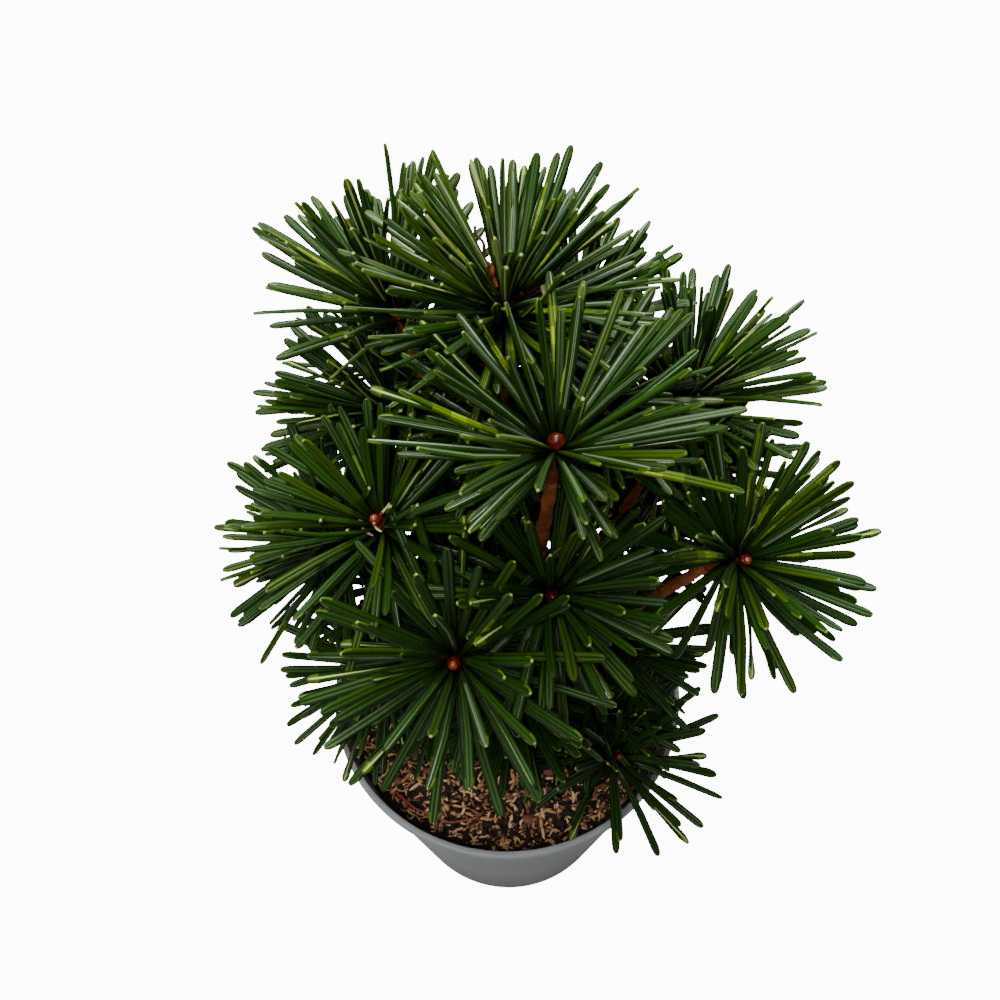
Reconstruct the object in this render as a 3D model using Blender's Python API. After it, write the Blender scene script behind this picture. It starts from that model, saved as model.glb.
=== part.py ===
"""A dwarf umbrella pine in its nursery pot.

The plant is a short leaning trunk that rises from the compost, boughs that leave it and
turn upwards, and at the end of each bough a shoot with a bud in a whorl of thick needles.
Metres, +Z up. The origin is the middle of the pot's flat underside.
"""
import math
import random
from typing import NamedTuple

import bmesh
import bpy
from mathutils import Vector
from mathutils.bvhtree import BVHTree

# Gap left between neighbouring pieces, and how near two points are one
GAP = 0.0003
MERGE_DISTANCE = 1e-6

# Pot: a round tapered tub with a slim lip
POT_HEIGHT = 0.150
POT_RIM_RADIUS = 0.095
POT_FOOT_RADIUS = 0.065
POT_WALL = 0.0018
POT_FLOOR = 0.0025
POT_FOOT_BEVEL = 0.0015
LIP_DEPTH = 0.0050
LIP_OVERHANG = 0.0012
LIP_UNDERCUT = 0.0010
LIP_SLOPE = 0.0006
POT_SIDES = 40
DRAIN_HOLES = 6
DRAIN_SIDES = 10
DRAIN_RADIUS = 0.0045
DRAIN_CIRCLE = 0.046

# Compost: its surface is level round the trunk and falls a little to the pot's wall
SOIL_LEVEL = 0.129
SOIL_FALL = 0.003
SOIL_ROUGH = 0.0012
SOIL_FLAT_RADIUS = 0.024
SOIL_EDGE_STRIP = 0.0012
SOIL_RINGS = 4

# Trunk: from a flat cut on the compost to the foot of the top shoot
TRUNK_BASE = Vector((0.000, 0.004))
TRUNK_RADIUS = 0.0092
TRUNK_TIP_RADIUS = 0.0034
TRUNK_SWAY = 0.004
TRUNK_LATE_LEAN = 1.4
FLARE = 0.0055
FLARE_HEIGHT = 0.012
FLARE_LOBES = 5
FLARE_LOBE_DEPTH = 0.22
TRUNK_SIDES = 12
TRUNK_RINGS = 14
RING_CROWDING = 1.25

# Boughs: each leaves the trunk outwards and curves up into its shoot
BOUGH_RISE = math.radians(28)
BOUGH_TIP_RADIUS = 0.0029
BOUGH_THICKENING = 0.012
BOUGH_BEND = 0.75
BOUGH_SIDES = 6
BOUGH_RINGS = 7
STRAIGHT_END = 0.003

# Twig, whorl and bud of a shoot
TWIG_LENGTH = 0.012
FORK_LENGTH = 0.026
TWIG_RADIUS = 0.0026
TWIG_LEAN_SHARE = 0.75
TWIG_EVEN_SHARE = 0.8
KNOB_RADIUS = 0.0034
KNOB_LENGTH = 0.011
KNOB_BELLY = (0.75, 0.10)
BUD_RADIUS = 0.0025
BUD_LENGTH = 0.0055
BUD_BELLY_SHARE = 0.35
BUD_TIP_SHARE = 0.35
TWIG_SIDES = 6

# Needles: three-sided blades with a flat upper face and a blunt tip
NEEDLE_ROOT_WIDTH = 0.0025
NEEDLE_TIP_WIDTH = 0.0049
NEEDLE_THICKNESS = 0.0015
NEEDLE_SUNK = 0.0015
INNER_LENGTH_SHARE = 0.88
LEAST_LENGTH_SHARE = 0.95
SPIN_SCATTER = 0.10
SLANT_SCATTER = 0.07
GOLDEN_ANGLE = math.radians(137.508)

# A needle that finds no room is turned by so many degrees, sideways and up, then shortened
TURNS = ((0, 0), (6, 0), (-6, 0), (0, 6), (0, -6), (11, 4), (-11, 4), (9, -8), (-9, -8))
LENGTH_SHARES = (1.0, 0.86, 0.72)


class Whorl(NamedTuple):
    """One round of needles: how many, where on the shoot, and how far they spread."""

    count: int
    top: float
    bottom: float
    inner: float
    outer: float
    length: float


WHORLS = (
    Whorl(count=15, top=0.0015, bottom=0.0085, inner=40, outer=90, length=1.0),
    Whorl(count=5, top=0.0110, bottom=0.0125, inner=86, outer=106, length=0.92),
)


class Shoot(NamedTuple):
    """The bud's place round the pot's middle line and the way the shoot points, in degrees."""

    bearing: float
    reach: float
    height: float
    lean: float
    toward: float
    needle: float


class Mass(NamedTuple):
    """A mass of needles: how high its bough leaves the trunk, and its shoots."""

    foot: float
    shoots: tuple


# The masses of needles, with the nearest to the viewer first
TOP = Mass(0.0, (Shoot(84, 0.030, 0.402, 12, 80, 0.066),))
SIDE_MASSES = {
    "front_high": Mass(0.236, (Shoot(-64, 0.041, 0.393, 10, -90, 0.066),)),
    "right_front": Mass(0.178, (Shoot(-15, 0.102, 0.306, 46, -58, 0.061),)),
    "front_left": Mass(0.172, (Shoot(-106, 0.074, 0.306, 48, -100, 0.062),)),
    "front_middle": Mass(0.188, (Shoot(-70, 0.053, 0.318, 42, -88, 0.056),)),
    "left": Mass(0.190, (
        Shoot(-162, 0.054, 0.325, 22, -150, 0.060),
        Shoot(179, 0.078, 0.292, 44, -170, 0.062))),
    "back_left_high": Mass(0.245, (Shoot(127, 0.077, 0.376, 32, 140, 0.064),)),
    "left_high": Mass(0.215, (Shoot(137, 0.071, 0.325, 38, 170, 0.061),)),
    "right_high": Mass(0.205, (
        Shoot(29, 0.094, 0.335, 30, 40, 0.063),
        Shoot(22, 0.086, 0.303, 44, 5, 0.058))),
    "inner_left": Mass(0.270, (Shoot(101, 0.049, 0.352, 30, 165, 0.045),)),
    "inner_right": Mass(0.250, (Shoot(23, 0.046, 0.360, 22, 10, 0.052),)),
    "low_front_right": Mass(0.143, (
        Shoot(-44, 0.076, 0.172, 38, -60, 0.054),
        Shoot(-34, 0.062, 0.187, 30, -10, 0.042))),
    "low_left": Mass(0.152, (Shoot(-166, 0.068, 0.205, 46, -160, 0.058),)),
    "low_right": Mass(0.150, (Shoot(-12, 0.054, 0.215, 44, -25, 0.054),)),
    "low_front": Mass(0.158, (Shoot(-83, 0.040, 0.215, 46, -85, 0.050),)),
    "back_high": Mass(0.230, (Shoot(66, 0.087, 0.350, 26, 66, 0.058),)),
    "back_left": Mass(0.196, (Shoot(115, 0.105, 0.310, 38, 115, 0.060),)),
    "back": Mass(0.178, (Shoot(87, 0.100, 0.300, 44, 88, 0.058),)),
    "back_right": Mass(0.192, (Shoot(55, 0.104, 0.290, 44, 52, 0.058),)),
    "left_back_low": Mass(0.172, (Shoot(158, 0.092, 0.245, 50, 160, 0.056),)),
    "right_back_low": Mass(0.160, (Shoot(45, 0.088, 0.228, 50, 45, 0.052),)),
    "back_low": Mass(0.150, (Shoot(100, 0.086, 0.222, 52, 98, 0.056),)),
}

# Finishes: a colour as seen in daylight, and how rough it is
POT_GREY = ((0.205, 0.235, 0.245, 1.0), 0.55)
COMPOST_BROWN = ((0.100, 0.058, 0.034, 1.0), 0.95)
BARK_RED_BROWN = ((0.180, 0.058, 0.026, 1.0), 0.85)
NEEDLE_GREEN = ((0.022, 0.080, 0.012, 1.0), 0.35)


def level_direction(bearing):
    """The level unit vector at a bearing in degrees, with 0 towards +X."""
    angle = math.radians(bearing)
    return Vector((math.cos(angle), math.sin(angle), 0.0))


def bud_place(shoot):
    """Where the shoot's bud sits."""
    return level_direction(shoot.bearing) * shoot.reach + Vector((0, 0, shoot.height))


def shoot_axis(shoot):
    """The unit vector that the shoot points along."""
    lean = math.radians(shoot.lean)
    return level_direction(shoot.toward) * math.sin(lean) + Vector((0, 0, math.cos(lean)))


def stem_direction(shoot):
    """The unit vector of the twig below the whorl, which leans straight away from the trunk."""
    lean = math.radians(shoot.lean) * TWIG_LEAN_SHARE
    return level_direction(shoot.bearing) * math.sin(lean) + Vector((0, 0, math.cos(lean)))


def knob_place(shoot):
    """The lower end of the knob that the shoot's needles grow from."""
    return bud_place(shoot) - shoot_axis(shoot) * KNOB_LENGTH


def fork_place(shoots):
    """Where the bough hands over to its mass: below the knob, or where two shoots part."""
    length = TWIG_LENGTH if len(shoots) == 1 else FORK_LENGTH
    places = [knob_place(shoot) - stem_direction(shoot) * length for shoot in shoots]
    return sum(places, Vector()) / len(places)


def fork_heading(shoots):
    """The direction in which the bough meets its mass."""
    return (knob_place(shoots[0]) - fork_place(shoots)).normalized()


def principled(name, finish):
    """A plain painted or grown surface with a finish's colour and roughness."""
    colour, roughness = finish
    material = bpy.data.materials.new(name)
    material.use_nodes = True
    shader = material.node_tree.nodes["Principled BSDF"]
    shader.inputs["Base Color"].default_value = colour
    shader.inputs["Roughness"].default_value = roughness
    shader.inputs["Metallic"].default_value = 0.0
    return material


def make_object(name, points, faces, material):
    """A mesh object from points and faces, with its faces turned outwards."""
    mesh = bpy.data.meshes.new(name)
    mesh.from_pydata(points, [], faces)
    tidy = bmesh.new()
    tidy.from_mesh(mesh)
    bmesh.ops.recalc_face_normals(tidy, faces=tidy.faces)
    tidy.to_mesh(mesh)
    tidy.free()
    mesh.materials.append(material)
    item = bpy.data.objects.new(name, mesh)
    bpy.context.scene.collection.objects.link(item)
    return item


def turned(name, profile, sides, material):
    """A closed outline of (radius, height) points spun once round the Z axis."""
    shape = bmesh.new()
    corners = [shape.verts.new((radius, 0.0, height)) for radius, height in profile]
    edges = [shape.edges.new(pair) for pair in zip(corners, corners[1:])]
    bmesh.ops.spin(shape, geom=corners + edges, cent=(0, 0, 0), axis=(0, 0, 1),
                   angle=math.tau, steps=sides, use_merge=True)
    bmesh.ops.remove_doubles(shape, verts=shape.verts, dist=MERGE_DISTANCE)
    bmesh.ops.recalc_face_normals(shape, faces=shape.faces)
    mesh = bpy.data.meshes.new(name)
    shape.to_mesh(mesh)
    shape.free()
    mesh.materials.append(material)
    item = bpy.data.objects.new(name, mesh)
    bpy.context.scene.collection.objects.link(item)
    return item


def limb_rings(path, radii, sides, lobes=None):
    """Points and faces of a capped limb: one ring of corners at each point of its path.

    The ring is carried along without twist. lobes gives a radius factor for a
    ring number and an angle, for a limb that isn't round.
    """
    points = []
    ahead = (path[1] - path[0]).normalized()
    side = ahead.orthogonal().normalized()
    for number, (centre, radius) in enumerate(zip(path, radii)):
        before = path[max(number - 1, 0)]
        after = path[min(number + 1, len(path) - 1)]
        ahead = (after - before).normalized()
        side = (side - ahead * side.dot(ahead)).normalized()
        across = ahead.cross(side)
        for corner in range(sides):
            angle = math.tau * corner / sides
            factor = lobes(number, angle) if lobes else 1.0
            spoke = side * math.cos(angle) + across * math.sin(angle)
            points.append(centre + spoke * radius * factor)
    faces = [tuple(range(sides))[::-1]]
    for ring in range(len(path) - 1):
        for corner in range(sides):
            following = (corner + 1) % sides
            low, high = ring * sides, (ring + 1) * sides
            faces.append((low + corner, low + following, high + following, high + corner))
    last = (len(path) - 1) * sides
    faces.append(tuple(range(last, last + sides)))
    return points, faces


class TakenSpace:
    """The solids that stand already, for needles to keep clear of."""

    def __init__(self):
        self.solids = []

    @staticmethod
    def bounds(points):
        """The middle and the radius of a ball round the points."""
        middle = sum(points, Vector()) / len(points)
        return middle, max((point - middle).length for point in points)

    def add(self, owner, points, faces):
        """Take the space of a solid that belongs to owner."""
        middle, radius = self.bounds(points)
        self.solids.append((owner, middle, radius, BVHTree.FromPolygons(points, faces)))

    def add_object(self, item):
        """Take the space of an object that sits at the origin."""
        points = [vertex.co.copy() for vertex in item.data.vertices]
        faces = [tuple(polygon.vertices) for polygon in item.data.polygons]
        self.add(item.name, points, faces)

    def is_free(self, owner, points, faces):
        """Whether a solid of owner would cross none of the others' solids."""
        middle, radius = self.bounds(points)
        tree = BVHTree.FromPolygons(points, faces)
        for other, place, size, solid in self.solids:
            near = (place - middle).length < size + radius
            if near and other != owner and tree.overlap(solid):
                return False
        return True


def inner_radius(height):
    """The pot's inner radius at a height."""
    foot = POT_FOOT_RADIUS - POT_WALL
    rim = POT_RIM_RADIUS - LIP_OVERHANG - POT_WALL
    return foot + (rim - foot) * height / POT_HEIGHT


def build_pot(material):
    """The pot: wall, lip and floor in one, with drain holes in the floor."""
    wall_top = POT_RIM_RADIUS - LIP_OVERHANG
    profile = [
        (0.0, POT_FLOOR),
        (inner_radius(POT_FLOOR), POT_FLOOR),
        (inner_radius(POT_HEIGHT), POT_HEIGHT),
        (POT_RIM_RADIUS, POT_HEIGHT),
        (POT_RIM_RADIUS, POT_HEIGHT - LIP_DEPTH),
        (wall_top - LIP_UNDERCUT, POT_HEIGHT - LIP_DEPTH - LIP_SLOPE),
        (POT_FOOT_RADIUS, POT_FOOT_BEVEL),
        (POT_FOOT_RADIUS - POT_FOOT_BEVEL, 0.0),
        (0.0, 0.0),
    ]
    pot = turned("pot", profile, POT_SIDES, material)
    for number in range(DRAIN_HOLES):
        spot = level_direction(360 * number / DRAIN_HOLES) * DRAIN_CIRCLE
        bpy.ops.mesh.primitive_cylinder_add(
            vertices=DRAIN_SIDES, radius=DRAIN_RADIUS, depth=4 * POT_FLOOR, location=spot)
        cutter = bpy.context.object
        cutter.name = f"drain_cutter_{number + 1}"
        cutter.hide_render = True
        cutter.display_type = "WIRE"
        hole = pot.modifiers.new(f"drain_{number + 1}", "BOOLEAN")
        hole.operation = "DIFFERENCE"
        hole.object = cutter
    return pot


def build_compost(material):
    """The compost that fills the pot, uneven on top but level under the trunk."""
    floor = POT_FLOOR + GAP
    edge_level = SOIL_LEVEL - SOIL_FALL
    profile = [(0.0, floor), (inner_radius(floor) - GAP, floor)]
    for ring in range(SOIL_RINGS + 1):
        share = ring / SOIL_RINGS
        radius = inner_radius(edge_level) - GAP
        radius += (SOIL_FLAT_RADIUS - radius) * share
        profile.append((radius, edge_level + SOIL_FALL * share))
    profile.append((0.0, SOIL_LEVEL))
    compost = turned("compost", profile, POT_SIDES, material)
    rng = random.Random("compost")
    rim = inner_radius(edge_level) - SOIL_EDGE_STRIP
    for vertex in compost.data.vertices:
        spread = math.hypot(vertex.co.x, vertex.co.y)
        if vertex.co.z > edge_level - GAP and SOIL_FLAT_RADIUS + GAP < spread < rim:
            vertex.co.z += rng.uniform(-SOIL_ROUGH, SOIL_ROUGH)
    return compost


def trunk_point(height):
    """The middle of the trunk at a height: a steady lean with a slight sway in it."""
    top = fork_place(TOP.shoots)
    ground = SOIL_LEVEL + GAP
    share = (height - ground) / (top.z - ground)
    sway = TRUNK_SWAY * math.sin(math.tau * share)
    x = TRUNK_BASE.x + (top.x - TRUNK_BASE.x) * share + sway
    y = TRUNK_BASE.y + (top.y - TRUNK_BASE.y) * share ** TRUNK_LATE_LEAN
    return Vector((x, y, height))


def trunk_solid(grown):
    """Points and faces of the trunk, swollen by grown where it is a cutter."""
    ground = SOIL_LEVEL + GAP
    top = fork_place(TOP.shoots) - fork_heading(TOP.shoots) * (GAP - grown)
    bend = top.z - STRAIGHT_END
    path, radii, flares = [], [], []
    for ring in range(TRUNK_RINGS):
        share = (ring / TRUNK_RINGS) ** RING_CROWDING
        height = ground + (bend - ground) * share
        flare = math.exp(-(height - ground) / FLARE_HEIGHT)
        path.append(trunk_point(height))
        radii.append(TRUNK_RADIUS + (TRUNK_TIP_RADIUS - TRUNK_RADIUS) * share
                     + FLARE * flare + grown)
        flares.append(flare)
    path += [top - fork_heading(TOP.shoots) * STRAIGHT_END, top]
    radii += [TRUNK_TIP_RADIUS + grown] * 2
    flares += [0.0] * 2

    def lobes(ring, angle):
        return 1.0 + FLARE_LOBE_DEPTH * flares[ring] * math.cos(FLARE_LOBES * angle)

    points, faces = limb_rings(path, radii, TRUNK_SIDES, lobes)
    for point in points[:TRUNK_SIDES]:
        point.z = ground - grown
    return points, faces


def bough_path(mass):
    """The middle line of a bough: out of the trunk, then turning up into its shoot.

    It is a cubic curve from the trunk's middle to the fork, with the trunk's bearing
    to the fork at its foot and the first shoot's own direction at its tip.
    """
    heading = fork_heading(mass.shoots)
    end = fork_place(mass.shoots) - heading * GAP
    tip = end - heading * STRAIGHT_END
    foot = trunk_point(mass.foot)
    outward = Vector((tip.x - foot.x, tip.y - foot.y, 0.0)).normalized()
    rising = outward * math.cos(BOUGH_RISE) + Vector((0, 0, math.sin(BOUGH_RISE)))
    span = (tip - foot).length * BOUGH_BEND
    path = []
    for ring in range(BOUGH_RINGS):
        t = ring / (BOUGH_RINGS - 1)
        path.append(
            foot * (2 * t ** 3 - 3 * t ** 2 + 1)
            + rising * span * (t ** 3 - 2 * t ** 2 + t)
            + tip * (3 * t ** 2 - 2 * t ** 3)
            + heading * span * (t ** 3 - t ** 2))
    return path + [end]


def build_bough(name, mass, trunk_cutter, material):
    """A tapering bough whose foot is cut to the trunk's side."""
    path = bough_path(mass)
    length = (path[-1] - path[0]).length
    radii = [BOUGH_TIP_RADIUS + BOUGH_THICKENING * length * (1 - ring / BOUGH_RINGS)
             for ring in range(BOUGH_RINGS + 1)]
    points, faces = limb_rings(path, radii, BOUGH_SIDES)
    bough = make_object(name, points, faces, material)
    saddle = bough.modifiers.new("saddle", "BOOLEAN")
    saddle.operation = "DIFFERENCE"
    saddle.object = trunk_cutter
    return bough


def shoot_stem(shoots, shoot):
    """Points and faces of a shoot's twig, with the knob that needles grow from and the bud.

    A second shoot's twig starts a little way inside the first one's.
    """
    foot = fork_place(shoots)
    if shoot is not shoots[0]:
        foot += fork_heading(shoots) * 2 * TWIG_RADIUS
    bud = bud_place(shoot)
    axis = shoot_axis(shoot)
    knob = knob_place(shoot)
    stations = [(foot, TWIG_RADIUS), (foot.lerp(knob, TWIG_EVEN_SHARE), TWIG_RADIUS)]
    stations += [(bud - axis * KNOB_LENGTH * share, KNOB_RADIUS) for share in KNOB_BELLY]
    stations += [(bud + axis * BUD_LENGTH * BUD_BELLY_SHARE, BUD_RADIUS),
                 (bud + axis * BUD_LENGTH, BUD_RADIUS * BUD_TIP_SHARE)]
    return limb_rings([place for place, _ in stations], [size for _, size in stations],
                      TWIG_SIDES)


def needle_solid(root, ahead, upward, length, grown=0.0):
    """Points and faces of a needle: a wedge of three sides, broad and flat above.

    grown swells it on every side, for a test that asks for a gap.
    """
    across = ahead.cross(upward).normalized()
    above = across.cross(ahead)
    keel = NEEDLE_THICKNESS / 2 + 2 * grown
    points = []
    for distance, width in ((-grown, NEEDLE_ROOT_WIDTH), (length + grown, NEEDLE_TIP_WIDTH)):
        centre = root + ahead * distance
        half = width / 2 + 2 * grown
        top = above * (NEEDLE_THICKNESS / 2 + grown)
        points += [centre + top - across * half, centre + top + across * half,
                   centre - above * keel]
    faces = [(0, 2, 1), (3, 4, 5)]
    for corner in range(3):
        following = (corner + 1) % 3
        faces.append((corner, following, following + 3))
        faces.append((corner, following + 3, corner + 3))
    return points, faces


def whorl_needles(name, shoot, taken):
    """The needles of one shoot that find room, each as points and faces.

    Within a whorl they go round by the golden angle while their slant opens from inner to
    outer, evenly over the band of directions. One that would cross another solid is turned
    a little, then shortened, then left out.
    """
    rng = random.Random(name)
    bud = bud_place(shoot)
    axis = shoot_axis(shoot)
    right = axis.orthogonal().normalized()
    turn = rng.uniform(0, math.tau)
    found = []
    for whorl in WHORLS:
        start = math.cos(math.radians(whorl.inner))
        end = math.cos(math.radians(whorl.outer))
        for index in range(whorl.count):
            share = (index + 0.5) / whorl.count
            azimuth = turn + index * GOLDEN_ANGLE + rng.uniform(-SPIN_SCATTER, SPIN_SCATTER)
            slant = math.acos(start + (end - start) * share)
            slant += rng.uniform(-SLANT_SCATTER, SLANT_SCATTER)
            length = INNER_LENGTH_SHARE + (1 - INNER_LENGTH_SHARE) * share
            length *= shoot.needle * whorl.length * rng.uniform(LEAST_LENGTH_SHARE, 1.0)
            depth = whorl.top + (whorl.bottom - whorl.top) * share
            needle = find_room(name, bud - axis * depth, axis, right,
                               (azimuth, slant, length), taken)
            if needle:
                taken.add(name, *needle)
                found.append(needle)
        turn += GOLDEN_ANGLE / 2
    return found


def find_room(name, root, axis, right, setting, taken):
    """The first of a needle's tries that crosses nothing, or None."""
    azimuth, slant, length = setting
    forward = axis.cross(right)
    for share in LENGTH_SHARES:
        for sideways, upwards in TURNS:
            spin = azimuth + math.radians(sideways)
            tilt = slant - math.radians(upwards)
            spoke = right * math.cos(spin) + forward * math.sin(spin)
            ahead = axis * math.cos(tilt) + spoke * math.sin(tilt)
            upward = axis * math.sin(tilt) - spoke * math.cos(tilt)
            start = root + ahead * NEEDLE_SUNK
            reach = length * share - NEEDLE_SUNK
            if taken.is_free(name, *needle_solid(start, ahead, upward, reach, GAP)):
                return needle_solid(start, ahead, upward, reach)
    return None


def keep_largest_shell(mesh):
    """Drop loose scraps and sealed hollows that joining may leave."""
    shape = bmesh.new()
    shape.from_mesh(mesh)
    shape.verts.ensure_lookup_table()
    unseen = set(shape.verts)
    shells = []
    while unseen:
        waiting = [unseen.pop()]
        shell = set(waiting)
        while waiting:
            vertex = waiting.pop()
            for edge in vertex.link_edges:
                other = edge.other_vert(vertex)
                if other in unseen:
                    unseen.discard(other)
                    shell.add(other)
                    waiting.append(other)
        shells.append(shell)
    largest = max(shells, key=len)
    scraps = [vertex for vertex in shape.verts if vertex not in largest]
    bmesh.ops.delete(shape, geom=scraps, context="VERTS")
    shape.to_mesh(mesh)
    shape.free()


def join_mass(name, stems, needles, material):
    """One solid from a mass's stems and needles, by a single union on a collection."""
    mass = make_object(name, *stems[0], material)
    parts = bpy.data.collections.new(f"{name}_parts")
    bpy.context.scene.collection.children.link(parts)
    for number, solid in enumerate(stems[1:] + needles):
        item = make_object(f"{name}_part_{number}", *solid, material)
        bpy.context.scene.collection.objects.unlink(item)
        parts.objects.link(item)
    union = mass.modifiers.new("union", "BOOLEAN")
    union.operation = "UNION"
    union.operand_type = "COLLECTION"
    union.collection = parts
    union.solver = "EXACT"
    graph = bpy.context.evaluated_depsgraph_get()
    joined = bpy.data.meshes.new_from_object(mass.evaluated_get(graph))
    mass.modifiers.remove(union)
    mass.data = joined
    for item in list(parts.objects):
        bpy.data.objects.remove(item)
    bpy.data.collections.remove(parts)
    keep_largest_shell(joined)
    return mass


def main():
    """Build the pot, the compost, the limbs and the masses of needles."""
    for item in list(bpy.data.objects):
        bpy.data.objects.remove(item)
    plastic = principled("pot_plastic", POT_GREY)
    soil = principled("compost_mix", COMPOST_BROWN)
    bark = principled("bark", BARK_RED_BROWN)
    foliage = principled("needle_green", NEEDLE_GREEN)

    taken = TakenSpace()
    taken.add_object(build_pot(plastic))
    taken.add_object(build_compost(soil))
    trunk = make_object("trunk", *trunk_solid(0.0), bark)
    taken.add_object(trunk)
    cutter = make_object("trunk_cutter", *trunk_solid(GAP), bark)
    cutter.hide_render = True
    cutter.display_type = "WIRE"

    masses = {"top": TOP, **SIDE_MASSES}
    for place, mass in SIDE_MASSES.items():
        taken.add_object(build_bough(f"bough_{place}", mass, cutter, bark))
    stems = {}
    for place, mass in masses.items():
        stems[place] = [shoot_stem(mass.shoots, shoot) for shoot in mass.shoots]
        for number, stem in enumerate(stems[place]):
            taken.add(f"{place} {number}", *stem)
    for place, mass in masses.items():
        needles = []
        for number, shoot in enumerate(mass.shoots):
            needles += whorl_needles(f"{place} {number}", shoot, taken)
        join_mass(f"needles_{place}", stems[place], needles, foliage)


main()
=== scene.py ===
"""The looks of a dwarf umbrella pine in its nursery pot, in metres with +Z up.

Limbs, twigs, buds and needles grow by one rule: a shoot stands at a bearing, a reach and a
height, leans towards a second bearing, and carries its needles round it by the golden angle.
"""
import logging
import math
import random
from dataclasses import dataclass, field
from enum import Enum

import bpy
import numpy as np
from mathutils import Matrix, Vector


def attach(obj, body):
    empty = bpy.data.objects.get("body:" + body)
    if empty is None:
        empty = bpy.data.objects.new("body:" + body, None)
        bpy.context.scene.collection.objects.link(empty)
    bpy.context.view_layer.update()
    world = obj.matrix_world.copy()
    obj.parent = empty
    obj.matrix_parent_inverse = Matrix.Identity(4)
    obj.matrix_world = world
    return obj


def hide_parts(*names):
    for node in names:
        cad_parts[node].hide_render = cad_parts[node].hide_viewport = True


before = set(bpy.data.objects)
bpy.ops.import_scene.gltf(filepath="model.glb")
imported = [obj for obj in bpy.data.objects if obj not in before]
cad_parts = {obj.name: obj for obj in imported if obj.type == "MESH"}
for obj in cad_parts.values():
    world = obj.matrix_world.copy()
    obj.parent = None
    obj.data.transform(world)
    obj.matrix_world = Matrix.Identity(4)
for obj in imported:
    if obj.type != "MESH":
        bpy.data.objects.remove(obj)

LOG = logging.getLogger("umbrella_pine")
BODY = "root"
GOLDEN_ANGLE = math.radians(137.508)
UP = np.array([0.0, 0.0, 1.0])
EYE = np.array([-0.0015, -0.2602, 0.6495])
BRIGHT_SKY = np.array([0.0, -0.33, 0.94])


def unit(vectors: np.ndarray) -> np.ndarray:
    """Vectors scaled to length one."""
    return vectors / np.linalg.norm(vectors, axis=-1, keepdims=True)


def level_direction(bearing: float) -> np.ndarray:
    """The level unit vector at a bearing in degrees, with 0 towards +X."""
    angle = math.radians(bearing)
    return np.array([math.cos(angle), math.sin(angle), 0.0])


def lattice_noise(points: np.ndarray, seed: int) -> np.ndarray:
    """Smooth noise: a hashed value at each whole-number corner, blended across the cell.

    Args:
        points: places to read, one row each, with the noise's cell as the unit.
        seed: picks another noise of the same kind.

    Returns:
        One value from -1 to 1 for each row.
    """
    base = np.floor(points).astype(np.int64)
    blend = points - base
    blend = blend * blend * (3.0 - 2.0 * blend)
    total = np.zeros(len(points))
    for corner in np.ndindex(2, 2, 2):
        cell = base + corner
        mixed = cell[:, 0] * 73856093 ^ cell[:, 1] * 19349663 ^ cell[:, 2] * 83492791
        mixed = (mixed ^ seed * 2654435761) & 0xFFFFFFFF
        mixed = (mixed ^ mixed >> 13) * 1274126177 & 0xFFFFFFFF
        mixed = mixed ^ mixed >> 16
        share = np.prod(np.where(corner, blend, 1.0 - blend), axis=1)
        total += share * ((mixed & 0xFFFF) / 32767.5 - 1.0)
    return total


def layered_noise(points: np.ndarray, seed: int, layers: int = 3) -> np.ndarray:
    """Lattice noise summed over layers, each twice as fine and half as strong as the last."""
    total = np.zeros(len(points))
    for layer in range(layers):
        total += lattice_noise(points * 2.0 ** layer, seed + layer) * 0.5 ** layer
    return total


def ring_quads(rings: int, sides: int) -> np.ndarray:
    """Corners of the four-sided faces of a tube of rings, each closed round its sides."""
    low = np.arange(rings - 1)[:, None] * sides
    side = np.arange(sides)[None, :]
    following = (side + 1) % sides
    corners = (low + side, low + following, low + sides + following, low + sides + side)
    return np.stack(corners, axis=-1).reshape(-1, 4)


@dataclass
class Pile:
    """Shapes gathered into one mesh: their points, and faces with a finish number each."""

    points: list = field(default_factory=list)
    faces: list = field(default_factory=list)
    finishes: list = field(default_factory=list)
    count: int = 0

    def add(self, points: np.ndarray, faces: list, finishes: list) -> None:
        """Adds one shape.

        Args:
            points: its corners, one row each.
            faces: arrays of corner numbers, each array with one count of corners.
            finishes: for each array, one finish number or one for each face.
        """
        self.points.append(points)
        for block, finish in zip(faces, finishes):
            self.faces.append(np.asarray(block) + self.count)
            self.finishes.append(np.broadcast_to(finish, (len(block),)))
        self.count += len(points)

    def piece(self, name: str, materials: list, slot: str) -> bpy.types.Object:
        """Makes the gathered shapes one smooth object on the plant's body.

        Args:
            name: the piece's name.
            materials: its materials, in the order of the finish numbers.
            slot: the record's material slot for the piece; not used.

        Returns:
            The new object, at the origin.
        """
        mesh = bpy.data.meshes.new(name)
        points = np.concatenate(self.points)
        totals = np.concatenate([np.full(len(block), block.shape[1]) for block in self.faces])
        corners = np.concatenate([block.ravel() for block in self.faces])
        mesh.vertices.add(len(points))
        mesh.vertices.foreach_set("co", points.astype(np.float32).ravel())
        mesh.loops.add(len(corners))
        mesh.loops.foreach_set("vertex_index", corners.astype(np.int32))
        mesh.polygons.add(len(totals))
        starts = np.concatenate([[0], np.cumsum(totals)[:-1]])
        mesh.polygons.foreach_set("loop_start", starts.astype(np.int32))
        finishes = np.concatenate(self.finishes).astype(np.int32)
        mesh.polygons.foreach_set("material_index", finishes)
        mesh.polygons.foreach_set("use_smooth", np.ones(len(totals), dtype=bool))
        mesh.update(calc_edges=True)
        mesh.validate()
        for material in materials:
            mesh.materials.append(material)
        item = bpy.data.objects.new(name, mesh)
        bpy.context.scene.collection.objects.link(item)
        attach(item, BODY)
        LOG.info("%s: %d points, %d faces", name, len(points), len(totals))
        return item


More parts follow.
